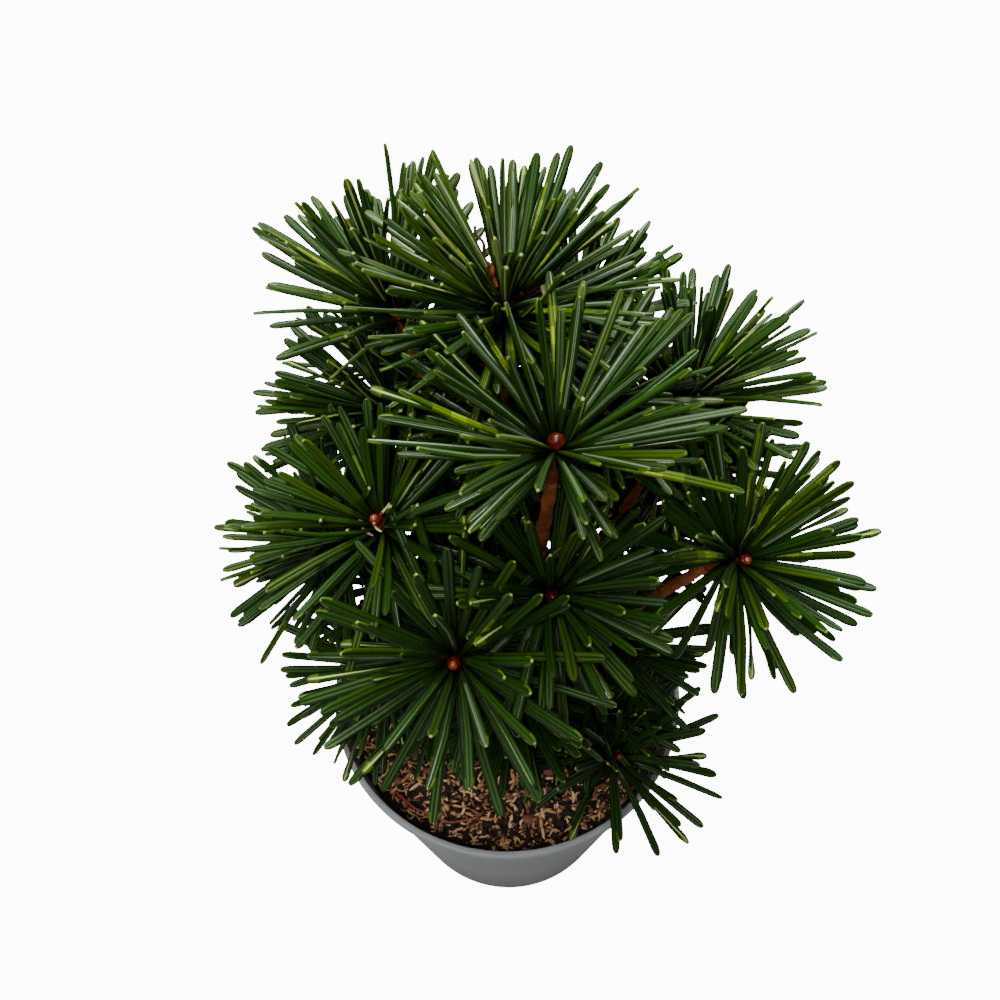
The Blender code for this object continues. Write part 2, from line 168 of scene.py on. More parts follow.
def carried_rings(path: np.ndarray, radii: np.ndarray, sides: int) -> np.ndarray:
    """A round profile carried along a path without twist.

    Point (i, j) is path(i) + radii(i, j) * (side(i) * cos(a) + across(i) * sin(a)), with
    a = 2 pi j / sides.

    Args:
        path: the middle line, one row for each ring.
        radii: the radius of each ring, or of each ring and side.
        sides: how many points go round.

    Returns:
        An array of rings by sides by 3.
    """
    ahead = unit(np.gradient(path, axis=0))
    side = np.zeros_like(path)
    current = np.array(Vector(ahead[0]).orthogonal().normalized())
    for number, direction in enumerate(ahead):
        current = unit(current - direction * (current @ direction))
        side[number] = current
    across = np.cross(ahead, side)
    angle = 2 * math.pi * np.arange(sides) / sides
    spokes = side[:, None] * np.cos(angle)[None, :, None]
    spokes = spokes + across[:, None] * np.sin(angle)[None, :, None]
    radii = np.broadcast_to(radii.reshape(len(path), -1), (len(path), sides))
    return path[:, None] + spokes * radii[:, :, None]


def capped_tube(rings: np.ndarray) -> tuple:
    """Points and faces of a tube whose two ends are closed with fans.

    Args:
        rings: an array of rings by sides by 3.

    Returns:
        The points, and a list with the quads and the two fans.
    """
    count, sides = rings.shape[:2]
    points = rings.reshape(-1, 3)
    middles = np.stack([rings[0].mean(axis=0), rings[-1].mean(axis=0)])
    points = np.concatenate([points, middles])
    side = np.arange(sides)
    following = (side + 1) % sides
    last = (count - 1) * sides
    low_middle = np.full(sides, count * sides)
    foot = np.stack([following, side, low_middle], axis=1)
    head = np.stack([last + side, last + following, low_middle + 1], axis=1)
    return points, [ring_quads(count, sides), foot, head]


class Groups:
    """Shader node groups that several finishes share."""

    @staticmethod
    def _new(name: str, inputs: dict, outputs: dict) -> bpy.types.NodeTree:
        """An empty group with named sockets, given as name to socket type."""
        group = bpy.data.node_groups.new(name, "ShaderNodeTree")
        for title, kind in inputs.items():
            group.interface.new_socket(title, in_out="INPUT", socket_type=kind)
        for title, kind in outputs.items():
            group.interface.new_socket(title, in_out="OUTPUT", socket_type=kind)
        group.nodes.new("NodeGroupInput").name = "in"
        group.nodes.new("NodeGroupOutput").name = "out"
        return group

    def __init__(self) -> None:
        """Builds each group once."""
        self.grain = self._build_grain()
        self.mottle = self._build_mottle()

    def _build_grain(self) -> bpy.types.NodeTree:
        """Fine grain: a height and a roughness that vary with noise on Object coordinates."""
        group = self._new(
            "fine_grain",
            {"Scale": "NodeSocketFloat", "Rough Low": "NodeSocketFloat",
             "Rough High": "NodeSocketFloat"},
            {"Height": "NodeSocketFloat", "Roughness": "NodeSocketFloat"})
        nodes, links = group.nodes, group.links
        place = nodes.new("ShaderNodeTexCoord")
        noise = nodes.new("ShaderNodeTexNoise")
        noise.inputs["Detail"].default_value = 4.0
        spread = nodes.new("ShaderNodeMapRange")
        links.new(place.outputs["Object"], noise.inputs["Vector"])
        links.new(nodes["in"].outputs["Scale"], noise.inputs["Scale"])
        links.new(noise.outputs["Fac"], spread.inputs["Value"])
        links.new(nodes["in"].outputs["Rough Low"], spread.inputs["To Min"])
        links.new(nodes["in"].outputs["Rough High"], spread.inputs["To Max"])
        links.new(noise.outputs["Fac"], nodes["out"].inputs["Height"])
        links.new(spread.outputs["Result"], nodes["out"].inputs["Roughness"])
        return group

    def _build_mottle(self) -> bpy.types.NodeTree:
        """Mottled colour: two colours in patches, with specks of a third."""
        group = self._new(
            "mottle",
            {"Colour": "NodeSocketColor", "Patches": "NodeSocketColor",
             "Specks": "NodeSocketColor", "Patch Scale": "NodeSocketFloat",
             "Speck Scale": "NodeSocketFloat", "Speck Edge": "NodeSocketFloat"},
            {"Color": "NodeSocketColor", "Mask": "NodeSocketFloat"})
        nodes, links = group.nodes, group.links
        place = nodes.new("ShaderNodeTexCoord")
        broad = nodes.new("ShaderNodeTexNoise")
        fine = nodes.new("ShaderNodeTexNoise")
        for noise, scale in ((broad, "Patch Scale"), (fine, "Speck Scale")):
            noise.inputs["Detail"].default_value = 5.0
            links.new(place.outputs["Object"], noise.inputs["Vector"])
            links.new(nodes["in"].outputs[scale], noise.inputs["Scale"])
        patches = nodes.new("ShaderNodeMapRange")
        patches.inputs["From Min"].default_value = 0.38
        patches.inputs["From Max"].default_value = 0.62
        specks = nodes.new("ShaderNodeMapRange")
        specks.inputs["From Max"].default_value = 0.85
        links.new(broad.outputs["Fac"], patches.inputs["Value"])
        links.new(fine.outputs["Fac"], specks.inputs["Value"])
        links.new(nodes["in"].outputs["Speck Edge"], specks.inputs["From Min"])
        first = nodes.new("ShaderNodeMix")
        second = nodes.new("ShaderNodeMix")
        first.data_type = second.data_type = "RGBA"
        links.new(patches.outputs["Result"], first.inputs["Factor"])
        links.new(nodes["in"].outputs["Colour"], first.inputs["A"])
        links.new(nodes["in"].outputs["Patches"], first.inputs["B"])
        links.new(specks.outputs["Result"], second.inputs["Factor"])
        links.new(first.outputs["Result"], second.inputs["A"])
        links.new(nodes["in"].outputs["Specks"], second.inputs["B"])
        links.new(second.outputs["Result"], nodes["out"].inputs["Color"])
        links.new(specks.outputs["Result"], nodes["out"].inputs["Mask"])
        return group


@dataclass(frozen=True)
class Finish:
    """A surface: its colours, how rough it is and its fine grain.

    A finish with no patches colour has one plain base colour, because its place on the
    plant is dealt out by needle or flake instead.
    """

    name: str
    colour: tuple
    patches: tuple = ()
    specks: tuple = ()
    patch_scale: float = 60.0
    speck_scale: float = 400.0
    speck_edge: float = 0.58
    rough: tuple = (0.4, 0.6)
    grain_scale: float = 900.0
    grain_height: float = 0.15
    coat: float = 0.0
    shine: float = 0.5
    shine_tint: tuple = (1.0, 1.0, 1.0)

    def material(self, groups: Groups) -> bpy.types.Material:
        """The finish as a material.

        Args:
            groups: the shared node groups.

        Returns:
            A new material with a Principled shader.
        """
        material = bpy.data.materials.new(self.name)
        material.use_nodes = True
        nodes, links = material.node_tree.nodes, material.node_tree.links
        shader = nodes["Principled BSDF"]
        shader.inputs["Base Color"].default_value = (*self.colour, 1.0)
        shader.inputs["Coat Weight"].default_value = self.coat
        shader.inputs["Coat Roughness"].default_value = 0.25
        shader.inputs["Specular IOR Level"].default_value = self.shine
        shader.inputs["Specular Tint"].default_value = (*self.shine_tint, 1.0)
        grain = nodes.new("ShaderNodeGroup")
        grain.node_tree = groups.grain
        grain.inputs["Scale"].default_value = self.grain_scale
        grain.inputs["Rough Low"].default_value = self.rough[0]
        grain.inputs["Rough High"].default_value = self.rough[1]
        links.new(grain.outputs["Roughness"], shader.inputs["Roughness"])
        bump = nodes.new("ShaderNodeBump")
        bump.inputs["Strength"].default_value = self.grain_height
        bump.inputs["Distance"].default_value = 0.0004
        links.new(grain.outputs["Height"], bump.inputs["Height"])
        links.new(bump.outputs["Normal"], shader.inputs["Normal"])
        if self.patches:
            mottle = nodes.new("ShaderNodeGroup")
            mottle.node_tree = groups.mottle
            mottle.inputs["Colour"].default_value = (*self.colour, 1.0)
            mottle.inputs["Patches"].default_value = (*self.patches, 1.0)
            mottle.inputs["Specks"].default_value = (*(self.specks or self.patches), 1.0)
            mottle.inputs["Patch Scale"].default_value = self.patch_scale
            mottle.inputs["Speck Scale"].default_value = self.speck_scale
            mottle.inputs["Speck Edge"].default_value = self.speck_edge
            links.new(mottle.outputs["Color"], shader.inputs["Base Color"])
        return material


@dataclass(frozen=True)
class LeafFinish(Finish):
    """The waxy skin of a needle, whose gleam is a little green."""

    rough: tuple = (0.28, 0.40)
    shine: float = 0.36
    shine_tint: tuple = (0.84, 1.00, 0.80)


class Leaf(Enum):
    """The plain colours dealt out over a needle's faces. The ridge tones are painted highlight and
    sheen; the groove and root tones, and the deep green on the edges, are painted shade.
    """

    DEEP = LeafFinish("needle_deep", (0.0092, 0.0340, 0.0018), shine=0.16)
    GREEN = LeafFinish("needle_green", (0.0155, 0.0490, 0.0026), shine=0.18)
    WARM = LeafFinish("needle_warm", (0.0310, 0.0640, 0.0012), shine=0.20)
    GREY = LeafFinish("needle_grey", (0.0200, 0.0440, 0.0110))
    # Lighter green on the ridges beside the groove: painted highlight lines.
    RIDGE = LeafFinish("needle_ridge_painted_highlight", (0.0260, 0.0720, 0.0080), shine=0.50)
    # Pale grey-green on the ridges: painted sheen, the overhead light's gleam put into the colour.
    PAINTED_SHEEN = LeafFinish("needle_painted_sheen", (0.1350, 0.1850, 0.1050), rough=(0.24, 0.34), shine=0.85)
    # Near black along the groove on the needle's top: painted shade in the groove.
    GROOVE_SHADE = LeafFinish("needle_painted_groove_shade", (0.0022, 0.0100, 0.0003), rough=(0.50, 0.65), shine=0.10)
    BAND = LeafFinish("needle_band", (0.3600, 0.4200, 0.1300), rough=(0.45, 0.60), shine=0.20)
    TIP = LeafFinish("needle_tip", (0.3000, 0.3500, 0.0900))
    MOSS = LeafFinish("needle_moss", (0.0550, 0.1150, 0.0008))
    LIME = LeafFinish("needle_lime", (0.0950, 0.1800, 0.0012))
    BRIGHT = LeafFinish("needle_bright", (0.1800, 0.2900, 0.0030))
    STREAK = LeafFinish("needle_streak", (0.3200, 0.4600, 0.0060))
    # Darker green over each needle's first stretch and root end: painted shade where the needles
    # crowd round the bud.
    ROOT_SHADE = LeafFinish("needle_root_painted_shade", (0.0120, 0.0320, 0.0010))


class Wood(Enum):
    """The plain colours dealt out over twigs and buds; the bud's bright top is a painted highlight
    and its dark foot is painted shade.
    """

    RED = Finish("twig_red", (0.200, 0.038, 0.007), rough=(0.50, 0.70), shine=0.15)
    BROWN = Finish("twig_brown", (0.100, 0.028, 0.008), rough=(0.55, 0.75), shine=0.20)
    BUD = Finish("bud_scale", (0.095, 0.006, 0.002), rough=(0.22, 0.34), coat=0.4)
    # Bright orange on the bud's top scales: a painted highlight.
    BUD_HIGHLIGHT = Finish("bud_painted_highlight", (0.330, 0.055, 0.010), rough=(0.18, 0.28), coat=0.5)
    # Near black on the bud's lower scales and foot: painted shade under the bud.
    BUD_FOOT_SHADE = Finish("bud_foot_painted_shade", (0.045, 0.005, 0.003), rough=(0.25, 0.45), coat=0.3)
    DRY = Finish("twig_dry", (0.050, 0.012, 0.005), rough=(0.55, 0.75), shine=0.15)
    PALE = Finish("twig_pale", (0.500, 0.420, 0.200), rough=(0.45, 0.65), shine=0.25)


class Litter(Enum):
    """The plain colours dealt out over the husks and chips on the compost."""

    CREAM = Finish("husk_cream", (0.930, 0.610, 0.340), rough=(0.36, 0.52), grain_height=0.3)
    TAN = Finish("husk_tan", (0.600, 0.300, 0.120), rough=(0.40, 0.56), grain_height=0.3)
    BROWN = Finish("husk_brown", (0.230, 0.098, 0.042), rough=(0.50, 0.70), grain_height=0.4)
    DARK = Finish("peat_crumb", (0.022, 0.010, 0.006), rough=(0.75, 0.95), grain_height=0.6)
    BARK = Finish("bark_chip", (0.240, 0.085, 0.045), rough=(0.60, 0.80), grain_height=0.6)
    FALLEN = Finish("fallen_needle", (0.300, 0.060, 0.030), rough=(0.35, 0.50))


POT_PLASTIC = Finish(
    "pot_plastic", (0.318, 0.334, 0.334), patches=(0.350, 0.368, 0.368),
    specks=(0.232, 0.247, 0.248), patch_scale=22.0, speck_scale=260.0, speck_edge=0.66,
    rough=(0.42, 0.56), grain_scale=1500.0, grain_height=0.06)
PEAT = Finish(
    "peat", (0.012, 0.007, 0.005), patches=(0.030, 0.017, 0.010),
    specks=(0.070, 0.038, 0.020), patch_scale=120.0, speck_scale=700.0, speck_edge=0.60,
    rough=(0.80, 0.98), grain_scale=1200.0, grain_height=0.8)
BARK = Finish(
    "bark", (0.400, 0.110, 0.024), patches=(0.240, 0.062, 0.016),
    specks=(0.640, 0.300, 0.120), patch_scale=160.0, speck_scale=620.0, speck_edge=0.57,
    rough=(0.45, 0.70), grain_scale=1400.0, grain_height=0.6, shine=0.30)
FLOOR = Finish(
    "floor_white", (0.34, 0.34, 0.34), patches=(0.35, 0.35, 0.35), patch_scale=1.0,
    rough=(0.85, 0.95), grain_height=0.0)


@dataclass(frozen=True)
class Shoot:
    """A shoot: its bud's place round the middle line, in degrees and metres, and its lean."""

    bearing: float
    reach: float
    height: float
    lean: float
    toward: float
    needle: float

    TWIG_LEAN_SHARE = 0.75
    KNOB_LENGTH = 0.011

    def bud(self) -> np.ndarray:
        """Where the bud sits."""
        return level_direction(self.bearing) * self.reach + UP * self.height

    def axis(self) -> np.ndarray:
        """The unit vector that the shoot points along."""
        lean = math.radians(self.lean)
        return level_direction(self.toward) * math.sin(lean) + UP * math.cos(lean)

    def stem_direction(self) -> np.ndarray:
        """The unit vector of the twig below the whorl, straight away from the trunk."""
        lean = math.radians(self.lean) * self.TWIG_LEAN_SHARE
        return level_direction(self.bearing) * math.sin(lean) + UP * math.cos(lean)

    def knob(self) -> np.ndarray:
        """The lower end of the knob that the needles grow from."""
        return self.bud() - self.axis() * self.KNOB_LENGTH


@dataclass(frozen=True)
class Mass:
    """A mass of needles: how high its bough leaves the trunk, and its shoots."""

    foot: float
    shoots: tuple

    TWIG_LENGTH = 0.012
    FORK_LENGTH = 0.026

    def fork(self) -> np.ndarray:
        """Where the bough hands over to the mass."""
        length = self.TWIG_LENGTH if len(self.shoots) == 1 else self.FORK_LENGTH
        return np.mean([s.knob() - s.stem_direction() * length for s in self.shoots], axis=0)

    def heading(self) -> np.ndarray:
        """The direction in which the bough meets the mass."""
        return unit(self.shoots[0].knob() - self.fork())


TOP = Mass(0.0, (Shoot(84, 0.030, 0.402, 12, 80, 0.066),))
SIDE_MASSES = {
    "front_high": Mass(0.236, (Shoot(-64, 0.041, 0.393, 10, -90, 0.066),)),
    "right_front": Mass(0.178, (Shoot(-15, 0.102, 0.306, 46, -58, 0.061),)),
    "front_left": Mass(0.172, (Shoot(-106, 0.074, 0.306, 48, -100, 0.062),)),
    "front_middle": Mass(0.188, (Shoot(-70, 0.053, 0.318, 42, -88, 0.056),)),
    "left": Mass(0.190, (
        Shoot(-162, 0.054, 0.325, 22, -150, 0.060),
        Shoot(179, 0.078, 0.292, 44, -170, 0.062))),
    "back_left_high": Mass(0.245, (Shoot(127, 0.077, 0.376, 32, 140, 0.064),)),
    "left_high": Mass(0.215, (Shoot(137, 0.071, 0.325, 38, 170, 0.061),)),
    "right_high": Mass(0.205, (
        Shoot(29, 0.094, 0.335, 30, 40, 0.063),
        Shoot(22, 0.086, 0.303, 44, 5, 0.058))),
    "inner_left": Mass(0.270, (Shoot(101, 0.049, 0.352, 30, 165, 0.045),)),
    "inner_right": Mass(0.250, (Shoot(23, 0.046, 0.360, 22, 10, 0.052),)),
    "low_front_right": Mass(0.143, (
        Shoot(-44, 0.076, 0.172, 38, -60, 0.054),
        Shoot(-34, 0.062, 0.187, 30, -10, 0.042))),
    "low_left": Mass(0.152, (Shoot(-166, 0.068, 0.205, 46, -160, 0.058),)),
    "low_right": Mass(0.150, (Shoot(-12, 0.054, 0.215, 44, -25, 0.054),)),
    "low_front": Mass(0.158, (Shoot(-83, 0.040, 0.215, 46, -85, 0.050),)),
    "back_high": Mass(0.230, (Shoot(66, 0.087, 0.350, 26, 66, 0.058),)),
    "back_left": Mass(0.196, (Shoot(115, 0.105, 0.310, 38, 115, 0.060),)),
    "back": Mass(0.178, (Shoot(87, 0.100, 0.300, 44, 88, 0.058),)),
    "back_right": Mass(0.192, (Shoot(55, 0.104, 0.290, 44, 52, 0.058),)),
    "left_back_low": Mass(0.172, (Shoot(158, 0.092, 0.245, 50, 160, 0.056),)),
    "right_back_low": Mass(0.160, (Shoot(45, 0.088, 0.228, 50, 45, 0.052),)),
    "back_low": Mass(0.150, (Shoot(100, 0.086, 0.222, 52, 98, 0.056),)),
}


@dataclass(frozen=True)
class DryTwig:
    """A crooked bare twig, or a withered stub of a needle, beside a shoot.

    Its two ends are counted from the shoot's bud. It sways from the straight line in a number
    of waves, and a share of its length from the foot is red.
    """

    start: tuple
    end: tuple
    radius: float
    crook: float
    red: float = 0.0
    tone: Wood = Wood.DRY
    place: str = "top"
    waves: float = 2.0


DRY_TWIGS = (
    DryTwig((-0.0035, 0.0025, 0.0019), (-0.0058, 0.0062, 0.0048), 0.0008, 0.0001, 0.80),
    DryTwig((-0.0055, 0.0055, 0.0043), (-0.0116, 0.0206, 0.0161), 0.0008, 0.0008, 0.15),
    DryTwig((0.0030, -0.0010, 0.0000), (0.0144, 0.0027, 0.0021), 0.0010, 0.0008),
    DryTwig((0.0128, 0.0020, 0.0022), (0.0143, -0.0024, -0.0010), 0.0007, 0.0001, 0.0, Wood.PALE),
    DryTwig((0.0143, 0.0024, 0.0024), (0.0158, -0.0014, -0.0002), 0.0007, 0.0001, 0.0, Wood.PALE),
    DryTwig((0.0006, 0.0012, 0.0016), (0.0052, 0.0052, 0.0052), 0.0006, 0.0003, 0.3, Wood.PALE,
            "left", 0.5),
    DryTwig((-0.0066, 0.0003, 0.0012), (-0.0018, -0.0048, -0.0030), 0.0007, -0.0014, 0.0,
            Wood.PALE, "left", 0.5),
    DryTwig((-0.0010, -0.0020, 0.0026), (0.0019, -0.0046, -0.0008), 0.0006, -0.0008, 0.0,
            Wood.PALE, "left", 0.5))


@dataclass
class Pot:
    """The round tapered tub with its slim lip and six drain holes."""

    height: float = 0.150
    rim_radius: float = 0.095
    foot_radius: float = 0.065
    wall: float = 0.0018
    floor: float = 0.0025
    foot_bevel: float = 0.0015
    lip_depth: float = 0.0050
    lip_overhang: float = 0.0012
    sides: int = 144
    drain_holes: int = 6
    drain_radius: float = 0.0045
    drain_circle: float = 0.046

    def inner_radius(self, height: float) -> float:
        """The inner radius at a height."""
        foot = self.foot_radius - self.wall
        rim = self.rim_radius - self.lip_overhang - self.wall
        return foot + (rim - foot) * height / self.height

    def outline(self) -> np.ndarray:
        """The wall's section from the middle of the inner floor round to the underside."""
        top, edge = self.height, 0.0006
        wall_top = self.rim_radius - self.lip_overhang
        under_lip = top - self.lip_depth
        inner = self.inner_radius
        corners = [
            (0.0005, self.floor), (0.5 * inner(0.0), self.floor),
            (inner(self.floor) - 0.002, self.floor),
            (inner(self.floor), self.floor + 0.002)]
        corners += [(inner(h), h) for h in np.linspace(0.02, top - edge, 9)]
        corners += [
            (inner(top) + 0.3 * edge, top - 0.3 * edge), (inner(top) + edge, top),
            (self.rim_radius - edge, top), (self.rim_radius - 0.3 * edge, top - 0.3 * edge),
            (self.rim_radius, top - edge), (self.rim_radius, under_lip + edge),
            (self.rim_radius - 0.3 * edge, under_lip + 0.3 * edge),
            (self.rim_radius - edge, under_lip), (wall_top - 0.0008, under_lip - 0.0005)]
        slope = (wall_top - self.foot_radius) / self.height
        corners += [(self.foot_radius + slope * h - 0.0002, h)
                    for h in np.linspace(under_lip - 0.004, 0.004, 9)]
        corners += [
            (self.foot_radius, self.foot_bevel),
            (self.foot_radius - 0.3 * self.foot_bevel, 0.3 * self.foot_bevel),
            (self.foot_radius - self.foot_bevel, 0.0),
            (0.5 * self.foot_radius, 0.0), (0.0005, 0.0)]
        return np.array(corners)

    def build(self, groups: Groups) -> bpy.types.Object:
        """Turns the section round the middle line and drills the drain holes.

        Args:
            groups: the shared node groups.

        Returns:
            The pot.
        """
        outline = self.outline()
        angle = -2 * math.pi * np.arange(self.sides) / self.sides
        rings = np.stack([
            outline[:, :1] * np.cos(angle), outline[:, :1] * np.sin(angle),
            np.broadcast_to(outline[:, 1:], (len(outline), self.sides))], axis=-1)
        points, faces = capped_tube(rings)
        pile = Pile()
        pile.add(points, faces, [0, 0, 0])
        pot = pile.piece("pot_shell", [POT_PLASTIC.material(groups)], "pot_plastic")
        self.drill(pot)
        pot.data.shade_smooth()
        pot.data.set_sharp_from_angle(angle=math.radians(35))
        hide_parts("pot")
        return pot

    def drill(self, pot: bpy.types.Object) -> None:
        """Cuts the drain holes through the floor."""
        for number in range(self.drain_holes):
            spot = level_direction(360 * number / self.drain_holes) * self.drain_circle
            bpy.ops.mesh.primitive_cylinder_add(
                vertices=32, radius=self.drain_radius, depth=4 * self.floor, location=spot)
            cutter = bpy.context.object
            hole = pot.modifiers.new("drain", "BOOLEAN")
            hole.object = cutter
            graph = bpy.context.evaluated_depsgraph_get()
            mesh = bpy.data.meshes.new_from_object(pot.evaluated_get(graph))
            pot.modifiers.remove(hole)
            pot.data = mesh
            bpy.data.objects.remove(cutter)


@dataclass
class Compost:
    """The compost, with rice husks, crumbs and bark chips strewn over it."""

    pot: Pot
    level: float = 0.129
    fall: float = 0.003
    gap: float = 0.0003
    relief: float = 0.0014
    rings: int = 70
    sides: int = 180
    husks: int = 4200
    crumbs: int = 1500
    chips: int = 46
    wall_gap: float = 0.0008
    room_to_tilt: float = 1.15
    fallen_needle: tuple = (
        (-0.0616, -0.0522), (-0.0505, -0.0619), (-0.0318, -0.0698), (-0.0164, -0.0675))

    def height_at(self, x: np.ndarray, y: np.ndarray) -> np.ndarray:
        """The surface's height: a shallow dome, plus layered noise of two coarsenesses."""
        spread = np.hypot(x, y) / self.pot.inner_radius(self.level)
        places = np.stack([x, y, np.zeros_like(x)], axis=-1)
        dome = self.level - self.fall * np.clip(spread, 0, 1) ** 2
        rough = layered_noise(places / 0.009, 11) + 0.5 * lattice_noise(places / 0.022, 17)
        return dome + self.relief * rough

    def build(self, groups: Groups) -> list:
        """Makes the bed and what lies on it.

        Args:
            groups: the shared node groups.

        Returns:
            The pieces.
        """
        edge = self.pot.inner_radius(self.level - self.fall) - self.gap
        foot_edge = self.pot.inner_radius(self.pot.floor) - self.gap
        floor = self.pot.floor + self.gap
        radius = edge * np.linspace(1.0, 0.0, self.rings, endpoint=False)
        angle = 2 * math.pi * np.arange(self.sides) / self.sides
        x = radius[:, None] * np.cos(angle)
        y = radius[:, None] * np.sin(angle)
        z = self.height_at(x.ravel(), y.ravel()).reshape(x.shape)
        top = np.stack([x, y, z], axis=-1)
        foot = np.stack([foot_edge * np.cos(angle), foot_edge * np.sin(angle),
                         np.full(self.sides, floor)], axis=-1)
        core = foot * np.array([0.3, 0.3, 1.0])
        rings = np.concatenate([core[None], foot[None], top])
        points, faces = capped_tube(rings)
        pile = Pile()
        pile.add(points, faces, [0, 0, 0])
        bed = pile.piece("compost_bed", [PEAT.material(groups)], "compost")
        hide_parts("compost")
        return [bed, *self.build_litter(groups)]

    def build_litter(self, groups: Groups) -> list:
        """Strews husks, then crumbs and chips, each a small closed boat or lump.

        Args:
            groups: the shared node groups.

        Returns:
            The husks as one piece, and the rest with the fallen needle as another.
        """
        rng = np.random.default_rng(5)
        husks, crumbs = Pile(), Pile()
        self.strew(husks, rng, self.husks, (0.0064, 0.0019, 0.0016), (33, 25, 18, 24, 0), 0.8)
        self.strew(crumbs, rng, self.crumbs, (0.0040, 0.0032, 0.0026), (2, 8, 22, 60, 8), 0.6)
        self.strew(crumbs, rng, self.chips, (0.0120, 0.0066, 0.0034), (0, 6, 24, 25, 45), 0.6)
        self.add_fallen_needle(crumbs, list(Litter).index(Litter.FALLEN))
        materials = [tone.value.material(groups) for tone in Litter]
        return [husks.piece("compost_husks", materials, "compost"),
                crumbs.piece("compost_crumbs", materials, "compost")]

    def add_fallen_needle(self, pile: Pile, tone: int) -> None:
        """Lays one long withered needle in a bow on the husks.

        Args:
            pile: where it goes.
            tone: the number of its finish.
        """
        knots = np.array(self.fallen_needle)
        share = np.linspace(0, len(knots) - 1, 24)
        x, y = (np.interp(share, np.arange(len(knots)), knots[:, axis]) for axis in range(2))
        height = self.height_at(x, y).max() + 0.0026 + 0.0006 * np.sin(share * 2.2)
        path = np.stack([x, y, height], axis=-1)
        points, faces = capped_tube(carried_rings(path, np.full(24, 0.0007), 6))
        pile.add(points, faces, [tone, tone, tone])

    def strew(self, pile: Pile, rng: np.random.Generator, count: int, size: tuple,
              weights: tuple, point: float) -> None:
        """Adds many small bodies of one kind.

        Each body is a six-sided section carried along its length, widest in the middle:
        half width = size * (1 - point * |t| ** 2.2) for t from -1 to 1 along the length.

        Args:
            pile: where the bodies go.
            rng: the source of chance.
            count: how many bodies.
            size: length, width and thickness.
            weights: the share of each litter colour.
            point: how far the ends draw in, from 0 to 1.
        """
        stations = np.array([-1.0, -0.5, 0.5, 1.0])
        widths = 1.0 - 0.93 * point * np.abs(stations) ** 2.2
        section = np.array([(1.0, 0.0), (0.5, 0.9), (-0.5, 0.9), (-1.0, 0.0), (-0.5, -0.6),
                            (0.5, -0.6)])
        sides = len(section)
        shape = np.zeros((len(stations), sides, 3))
        shape[..., 0] = stations[:, None]
        shape[..., 1] = widths[:, None] * section[:, 0]
        shape[..., 2] = widths[:, None] * section[:, 1] - 0.5 * (stations ** 2)[:, None]
        scale = rng.uniform(0.6, 1.25, (count, 1)) * rng.uniform(0.8, 1.2, (count, 3))
        scale = scale * np.array(size) * 0.5
        bodies = shape[None] * scale[:, None, None]
        bodies[..., 1:] += rng.normal(0, 0.07, bodies[..., 1:].shape) * scale[:, None, None, 1:]
        spin = rng.uniform(0, 2 * math.pi, count)
        tilt = rng.normal(0, 0.42, count)
        roll = rng.normal(0, 0.60, count)
        bodies = self.turned(bodies, spin, tilt, roll)
        spread = np.sqrt(rng.uniform(0.01, 1, count))
        bearing = rng.uniform(0, 2 * math.pi, count)
        outward = np.abs(np.cos(spin - bearing)) * scale[:, 0]
        outward += np.abs(np.sin(spin - bearing)) * scale[:, 1]
        edge = self.pot.inner_radius(self.level - self.fall)
        reach = (edge - self.wall_gap - self.room_to_tilt * outward) * spread
        x, y = reach * np.cos(bearing), reach * np.sin(bearing)
        lift = rng.uniform(-0.3, 1.0, count) * size[2]
        z = self.height_at(x, y) + lift
        bodies += np.stack([x, y, z], axis=-1)[:, None, None]
        tones = rng.choice(len(weights), count, p=np.array(weights) / sum(weights))
        each = np.arange(count)[:, None, None] * len(stations) * sides
        tube = ring_quads(len(stations), sides)
        last = (len(stations) - 1) * sides
        ends = np.stack([np.arange(sides)[::-1], np.arange(sides) + last])
        pile.add(bodies.reshape(-1, 3),
                 [(tube[None] + each).reshape(-1, 4), (ends[None] + each).reshape(-1, sides)],
                 [self.with_painted_shade(tones, len(stations) - 1, sides), np.repeat(tones, 2)])

    @staticmethod
    def with_painted_shade(tones: np.ndarray, spans: int, sides: int) -> np.ndarray:
        """The finish of each side face: the body's own above, and the next darker tone below as
        painted shade.

        Args:
            tones: the finish number of each body.
            spans: how many stretches a body has.
            sides: how many faces go round it, of which the first two look upwards.

        Returns:
            A finish number for each side face of each body.
        """
        # Faces that don't look upwards take the next darker tone: painted shade on the husk's lower
        # side.
        darker = np.where(tones < 3, tones + 1, tones)
        faces = np.repeat(darker[:, None, None], spans, axis=1).repeat(sides, axis=2)
        faces[..., :2] = tones[:, None, None]
        return faces.reshape(-1)

    @staticmethod
    def turned(bodies: np.ndarray, spin: np.ndarray, tilt: np.ndarray,
               roll: np.ndarray) -> np.ndarray:
        """Bodies rolled about X, tilted about Y and spun about Z, each by its own angles."""
        def turn(shape: np.ndarray, angle: np.ndarray, first: int, second: int) -> np.ndarray:
            """Turns the first of two coordinates towards the second."""
            cosine = np.cos(angle)[:, None, None]
            sine = np.sin(angle)[:, None, None]
            result = shape.copy()
            result[..., first] = shape[..., first] * cosine - shape[..., second] * sine
            result[..., second] = shape[..., first] * sine + shape[..., second] * cosine
            return result
        return turn(turn(turn(bodies, roll, 1, 2), tilt, 2, 0), spin, 0, 1)


